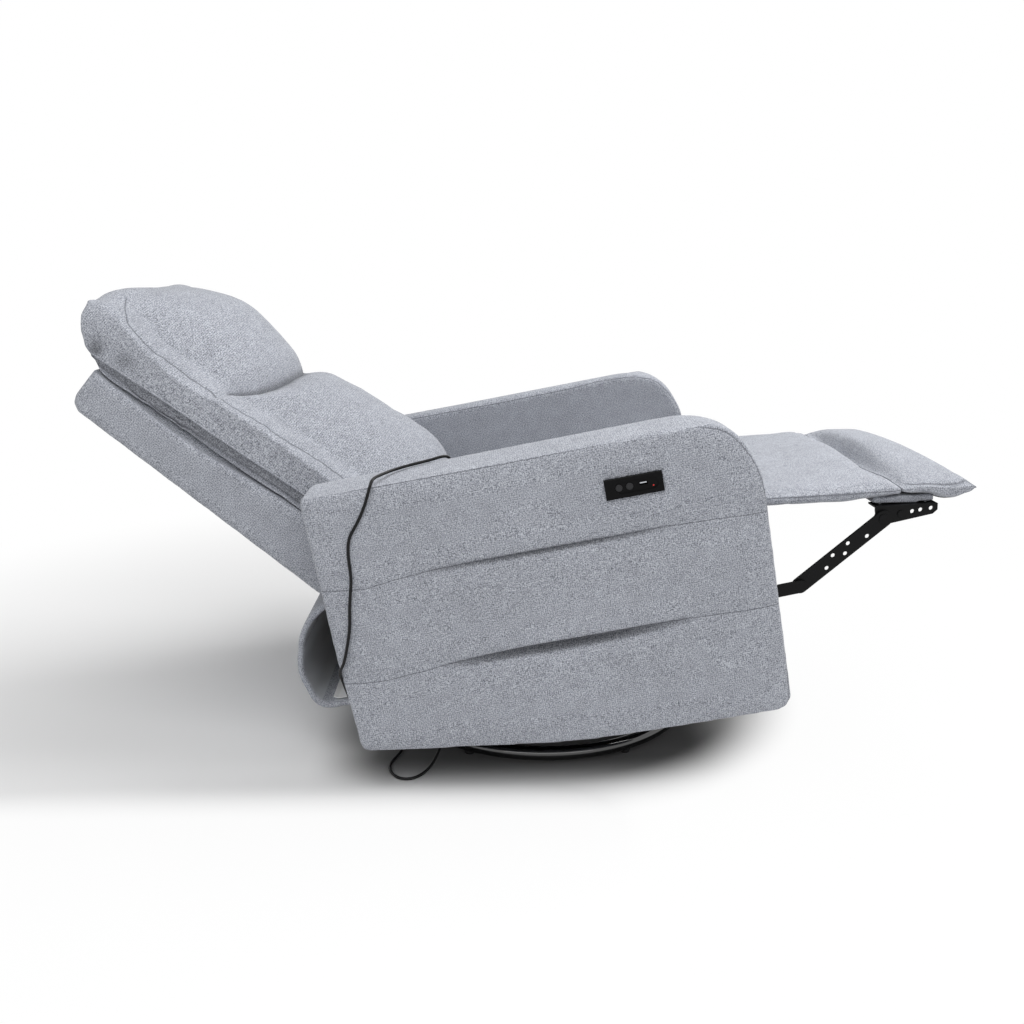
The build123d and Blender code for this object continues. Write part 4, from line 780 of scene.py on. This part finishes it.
# rear apron: a stiff curved flap, cloth outside and over its edges, plain lining inside
apronFacts = {
    "outer": ((-0.353, 0.219), (-0.4025, 0.179), (-0.4255, 0.119), (-0.4320, 0.081), (-0.420, 0.048),
              (-0.407, 0.033), (-0.382, 0.024), (-0.258, 0.024)),
    "voxel": 0.0048, "lined": 0.0065, "edge": 0.262, "foot": 0.0055,
    "strip": {"long": 0.052, "thick": 0.0016, "place": (-0.356, 0.0, 0.0345)},
}
rearApron = remeshed(copyForm("rearApron", ["rear_apron"]), apronFacts["voxel"], 5)


def sewApron(piece):
    # the apron's foot is let down to the sewn outline
    here = toLocal(readPoints(piece.data), chairFrame)
    here[:, 2] -= apronFacts["foot"] * (1.0 - ease(here[:, 2], 0.030, 0.060))
    writePoints(piece.data, toRow(here, chairFrame))


def tackStrip():
    # card strip that holds the lining's lower edge, laid in the bottom of the curve
    form = bmesh.new()
    bmesh.ops.create_cube(form, size=1.0)
    strip = apronFacts["strip"]
    bmesh.ops.scale(form, vec=(strip["long"], 2 * apronFacts["edge"] - 0.004, strip["thick"]), verts=form.verts)
    bmesh.ops.subdivide_edges(form, edges=[e for e in form.edges if abs(e.verts[0].co.x - e.verts[1].co.x) > 0.01],
                              cuts=6)
    bmesh.ops.bevel(form, geom=[e for e in form.edges if e.calc_face_angle(0) > 0.8], offset=0.0005,
                    affect="EDGES", segments=2, profile=0.5, material=-1)
    bmesh.ops.translate(form, verts=form.verts, vec=strip["place"])
    piece = meshPiece("apronTackStrip", form)
    here = readPoints(piece.data)
    here[:, 2] += 45.0 * np.clip(-0.372 - here[:, 0], 0.0, None) ** 2
    writePoints(piece.data, toRow(here, chairFrame))
    return piece


apronStrip = tackStrip()
print("soft forms cut out")

puffed([(armLeft, armFacts["puff"]), (seatCushion, seatFacts["puff"]), (backCushion, backFacts["puff"]),
        (bolsterPad, restFacts["bolsterPuff"]), (chaisePad, restFacts["padPuff"])])
for piece in (armLeft, seatCushion, backCushion, backShell, bolsterPad, chaisePad, restBoard, rearApron):
    subdivided(piece)
sewArm(armLeft, 1)
sewSeat(seatCushion)
sewApron(rearApron)
sewBack(backCushion)
sewShell(backShell)
sewRest()

# the right arm mirrors the left one, and takes the panel
armRight = armLeft.copy()
armRight.data = armLeft.data.copy()
armRight.name = armRight.data.name = "armRight"
scene.collection.objects.link(armRight)
form = bmesh.new()
form.from_mesh(armRight.data)
bmesh.ops.scale(form, vec=(1, -1, 1), verts=form.verts)
bmesh.ops.recalc_face_normals(form, faces=form.faces)
form.to_mesh(armRight.data)
form.free()
pressForPanel(armRight)
weltRight = weltPiping("backWeltRight", backCushion, -1)
weltLeft = weltPiping("backWeltLeft", backCushion, 1)
print("seams sewn:", {p.name: len(p.data.polygons) for p in (armLeft, armRight, seatCushion, backCushion, backShell,
                                                             bolsterPad, chaisePad, restBoard, rearApron)})

armNodes = [n for n in leftArmSources if "board" not in n]
softPieces = (
    (armRight, "chair", (chairCloth,), [n.replace("left", "right") for n in armNodes], 0.8),
    (armLeft, "chair", (chairCloth,), armNodes, 0.8),
    (seatCushion, "chair", (chairCloth, dustCover), ["seat_cushion"], 0.7),
    (rearApron, "chair", (chairCloth, apronLining), ["rear_apron"], 0.2),
    (backShell, "back", (backCloth,), ["back_frame"], 0.9),
    (backCushion, "back", (backCloth,), ["lumbar_cushion", "head_pillow"], 0.7),
    (bolsterPad, "ottoman", (restCloth, dustCover), ["bolster"], 0.7),
    (chaisePad, "ottoman", (restCloth, dustCover), ["chaise_pad"], 0.6),
    (restBoard, "ottoman", (restCloth, dustCover), ["ottoman_board"], 0.9),
)
for piece, body, materials, hidden, fill in softPieces:
    dress(piece, *materials)
    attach(piece, body)
    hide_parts(*hidden)
for piece, body, material in ((weltRight, "back", backCloth), (weltLeft, "back", backCloth),
                              (apronStrip, "chair", tackCard)):
    dress(piece, material)
    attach(piece, body)


def below(slant, limit, within=1.0):
    # chooses faces that look down, under the limit, no further from the middle than within
    def choose(centres, normals):
        looks = toLocal(normals, {"origin": (0, 0), "turn": slant["turn"]})[:, 2]
        return (looks < -0.7) & (toLocal(centres, slant)[:, 2] < limit) & (np.abs(centres[:, 1]) < within)
    return choose


def insideApron(centres, normals):
    here = toLocal(centres, chairFrame)
    deep = np.abs(signedGap(here[:, 0], here[:, 2], apronFacts["outer"]))
    return (deep > apronFacts["lined"]) & (np.abs(here[:, 1]) < apronFacts["edge"])


backFaces(bolsterPad, below(restFrame, 0.040, 0.268))
backFaces(chaisePad, below(restFrame, 0.040, 0.268))
backFaces(restBoard, below(restFrame, 0.025))
backFaces(seatCushion, below(chairFrame, 0.185))
backFaces(rearApron, insideApron)
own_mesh(chaisePad)
print("soft pieces dressed")

# hard parts
# powder coat: baked polyester over steel tube and strip, half gloss, with fine orange peel
powderCoat = flecked("blackPowderCoatedSteel", "#070708", 0.3, 0.0030, 0.38, 0.14, depth=0.0002)
# enamel on the ring: wet-looking black, so the studio shows in it as thin bright lines
ringEnamel = flecked("blackEnamelledSteelTube", "#060607", 0.2, 0.0100, 0.07, 1.0, depth=0.00003, strength=0.10)
# zinc plate: bright, slightly blue, faint clouding
zincPlate = flecked("zincPlatedSteel", "#c4c7cc", 0.08, 0.0060, 0.28, metal=1.0, depth=0.00005)
# ABS: injection moulded in a polished tool
glossPlastic = flecked("polishedMouldedAbs", "#050506", 0.3, 0.0040, 0.14, 0.09, depth=0.00002, strength=0.2)
# ABS with a satin face, so a fingertip finds the buttons
satinPlastic = flecked("satinMouldedAbs", "#17171a", 0.3, 0.0020, 0.30, 0.35, depth=0.00005)
# ABS again, from a spark-eroded tool, so it is dull and evenly grained
grainedPlastic = flecked("grainedMouldedAbs", "#0e0e10", 0.4, 0.0010, 0.55, 0.25, depth=0.0002)
# PVC cord sheath: extruded, soft sheen
cordSheath = flecked("extrudedPvcSheath", "#070708", 0.3, 0.0020, 0.34, 0.22, depth=0.00004)
rubber = flecked("mouldedRubber", "#121213", 0.5, 0.0015, 0.75, 0.25)
webbing = flecked("blackElasticWebbing", "#151517", 0.8, 0.0018, 0.85, 0.2, depth=0.0004, strength=0.6)
redLens = flecked("redPolycarbonateLens", "#c7261b", 0.2, 0.0010, 0.15, depth=0.00002)


def plywoodFinish():
    # rotary-cut birch: pale tan with long soft grain along the board
    material, tree, shader = newMaterial("birchPlywood", 0.58, 0.3)
    place = addNode(tree, "ShaderNodeTexCoord")
    drawn = addNode(tree, "ShaderNodeMapping", {"Scale": (6.0, 60.0, 60.0)}, {"Vector": place.outputs["Object"]})
    grain = addNode(tree, "ShaderNodeTexNoise", {"Scale": 4.0, "Detail": 5.0, "Distortion": 0.6},
                    {"Vector": drawn.outputs["Vector"]})
    tones = addNode(tree, "ShaderNodeValToRGB", links={"Fac": grain.outputs["Fac"]})
    tones.color_ramp.elements[0].position, tones.color_ramp.elements[0].color = 0.35, tint("#a8855a")
    tones.color_ramp.elements[1].position, tones.color_ramp.elements[1].color = 0.65, tint("#cdb084")
    tree.links.new(tones.outputs["Color"], shader.inputs["Base Color"])
    relief = addNode(tree, "ShaderNodeBump", {"Strength": 0.3, "Distance": 0.0002}, {"Height": grain.outputs["Fac"]})
    tree.links.new(relief.outputs["Normal"], shader.inputs["Normal"])
    return material


plywood = plywoodFinish()
for piece in (powerCord, supplySleeve, glandSleeve):
    dress(piece, cordSheath)
finishes = (
    (ringEnamel, ["base_ring"]),
    (powderCoat, ["base_cross", "turntable", "pedestal_left", "pedestal_right", "hanger_left", "hanger_right",
                  "bearing_lower", "bearing_upper", "drive_frame", "front_link_left", "front_link_right",
                  "ottoman_bracket_left", "ottoman_bracket_right", "side_rail_left", "side_rail_right", "cross_tubes",
                  "back_bracket_left", "back_bracket_right"]),
    (grainedPlastic, ["actuator_housing", "actuator_motor", "power_supply", "cord_gland"]),
    (zincPlate, ["bearing_balls", "kingpin", "pivot_shaft", "recline_pins", "ottoman_screws", "actuator_rod",
                 "usb_tongue"]),
    (glossPlastic, ["control_panel"]),
    (satinPlastic, ["button_open", "button_close"]),
    (rubber, ["ring_glides", "rubber_bushings"]),
    (plywood, ["arm_board_left", "arm_board_right", "ottoman_board", "rear_stretcher", "seat_rails"]),
    (webbing, ["seat_webbing"]),
    (redLens, ["panel_lamp"]),
)
for finish, names in finishes:
    for name in names:
        dress(nodes[name], finish)
print("hard parts finished")


def curveLength():
    bare = cordCurve.copy()
    bare.bevel_depth = 0.0
    probe = placed("probe", bare)
    mesh = bpy.data.meshes.new_from_object(probe.evaluated_get(bpy.context.evaluated_depsgraph_get()))
    points = readPoints(mesh)
    bpy.data.objects.remove(probe)
    return float(np.linalg.norm(np.diff(points, axis=0), axis=1).sum())


print("cord spline length", round(curveLength(), 3))

# white sweep: plain diffuse near the chair, so it keeps the shadow, and plain white to the camera further out.
# Painted shadow: its paint is darker in a soft patch under the chair, which deepens the shadow there. Painted light:
# close in front of the chair and round its right side the white fades in too, which cuts the shadow short there
floorFacts = {"size": 12.0, "white": 0.84, "under": 0.16, "centre": (-0.015, 0.0, 0.0), "half": (0.345, 0.335),
              "soft": 0.075, "fade": (0.75, 2.0), "front": (0.350, 0.470),
              "round": {"centre": (-0.02, 0.08, 0.0), "edge": (0.415, 0.565), "from": (-0.10, 0.15)}}
floorForm = bmesh.new()
bmesh.ops.create_grid(floorForm, x_segments=2, y_segments=2, size=floorFacts["size"])
floor = meshPiece("floor", floorForm)


def sweepFinish():
    paint, tree, shader = newMaterial("whiteStudioSweep", 0.9, 0.0)
    place = addNode(tree, "ShaderNodeTexCoord").outputs["Object"]
    offset = vectors(tree, "SUBTRACT", {1: floorFacts["centre"]}, {0: place})
    offset = vectors(tree, "ABSOLUTE", links={0: offset.outputs["Vector"]})
    sides = addNode(tree, "ShaderNodeSeparateXYZ", links={"Vector": offset.outputs["Vector"]})
    # painted shadow: inside a soft rectangle under the chair the paint goes from white to the under tone
    soft = floorFacts["soft"]
    paintedShadowSpans = [spanned(tree, sides.outputs[axis], (half - soft, half + soft), (1.0, 0.0), True)
             for axis, half in enumerate(floorFacts["half"])]
    tone = addNode(tree, "ShaderNodeMix", {"data_type": "RGBA", 6: (floorFacts["white"],) * 3 + (1,),
                                           7: (floorFacts["under"],) * 3 + (1,)},
                   {0: maths(tree, "MULTIPLY", *paintedShadowSpans)})
    tree.links.new(tone.outputs[2], shader.inputs["Base Color"])
    reach = vectors(tree, "DISTANCE", {1: floorFacts["centre"]}, {0: place}).outputs["Value"]
    along = addNode(tree, "ShaderNodeSeparateXYZ", links={"Vector": place})
    # painted light: in front of the chair, and within the round edge at its right side, the floor is faded to plain
    # white, cutting the shadow short
    front = [-edge for edge in floorFacts["front"]]
    rounded = floorFacts["round"]
    disc = vectors(tree, "DISTANCE", {1: rounded["centre"]}, {0: place}).outputs["Value"]
    right = maths(tree, "MULTIPLY", spanned(tree, disc, rounded["edge"], (0.0, 0.97), True),
                  spanned(tree, along.outputs["X"], rounded["from"], smooth=True))
    fade = maths(tree, "MAXIMUM", spanned(tree, reach, floorFacts["fade"], smooth=True),
                 spanned(tree, along.outputs["Y"], front, (0.0, 0.9), True))
    fade = maths(tree, "MULTIPLY", maths(tree, "MAXIMUM", fade, right), backdropSeen(tree))
    white = addNode(tree, "ShaderNodeEmission", {"Color": (1, 1, 1, 1), "Strength": 1.0})
    surface = addNode(tree, "ShaderNodeMixShader", links={0: fade, 1: shader.outputs["BSDF"], 2: white.outputs[0]})
    out = [n for n in tree.nodes if n.bl_idname == "ShaderNodeOutputMaterial"][0]
    tree.links.new(surface.outputs[0], out.inputs["Surface"])
    return paint


dress(floor, sweepFinish())

lightFacts = {"sky": 0.50}
world = bpy.data.worlds.new("studio")
scene.world = world
world.use_nodes = True
worldTree = world.node_tree
worldTree.nodes.clear()
worldLevel = spanned(worldTree, backdropSeen(worldTree), target=(lightFacts["sky"], 1.0))
sky = addNode(worldTree, "ShaderNodeBackground", {"Color": (1, 1, 1, 1)}, {"Strength": worldLevel})
addNode(worldTree, "ShaderNodeOutputWorld", links={"Surface": sky.outputs[0]})

lamps = {"key": {"place": (-0.5, -1.7, 2.5), "aim": (0.0, 0.0, 0.3), "size": 1.8, "power": 31.0},
         "top": {"place": (1.35, 0.25, 2.5), "aim": (0.0, 0.0, 0.4), "size": 1.7, "power": 55.0},
         "strip": {"place": (0.10, -2.4, 1.05), "aim": (0.0, -0.3, 0.05), "size": 3.0, "tall": 0.10, "power": 4.0}}
for name, facts in lamps.items():
    lamp = placed(name, bpy.data.lights.new(name, "AREA"))
    lamp.data.shape = "RECTANGLE"
    lamp.data.size, lamp.data.size_y = facts["size"], facts.get("tall", facts["size"])
    lamp.data.energy = facts["power"]
    lamp.location = facts["place"]
    lamp.rotation_mode = "QUATERNION"
    lamp.rotation_quaternion = (Vector(facts["aim"]) - Vector(facts["place"])).to_track_quat("-Z", "Y")
scene.view_settings.view_transform = "Standard"
print("stage lit")
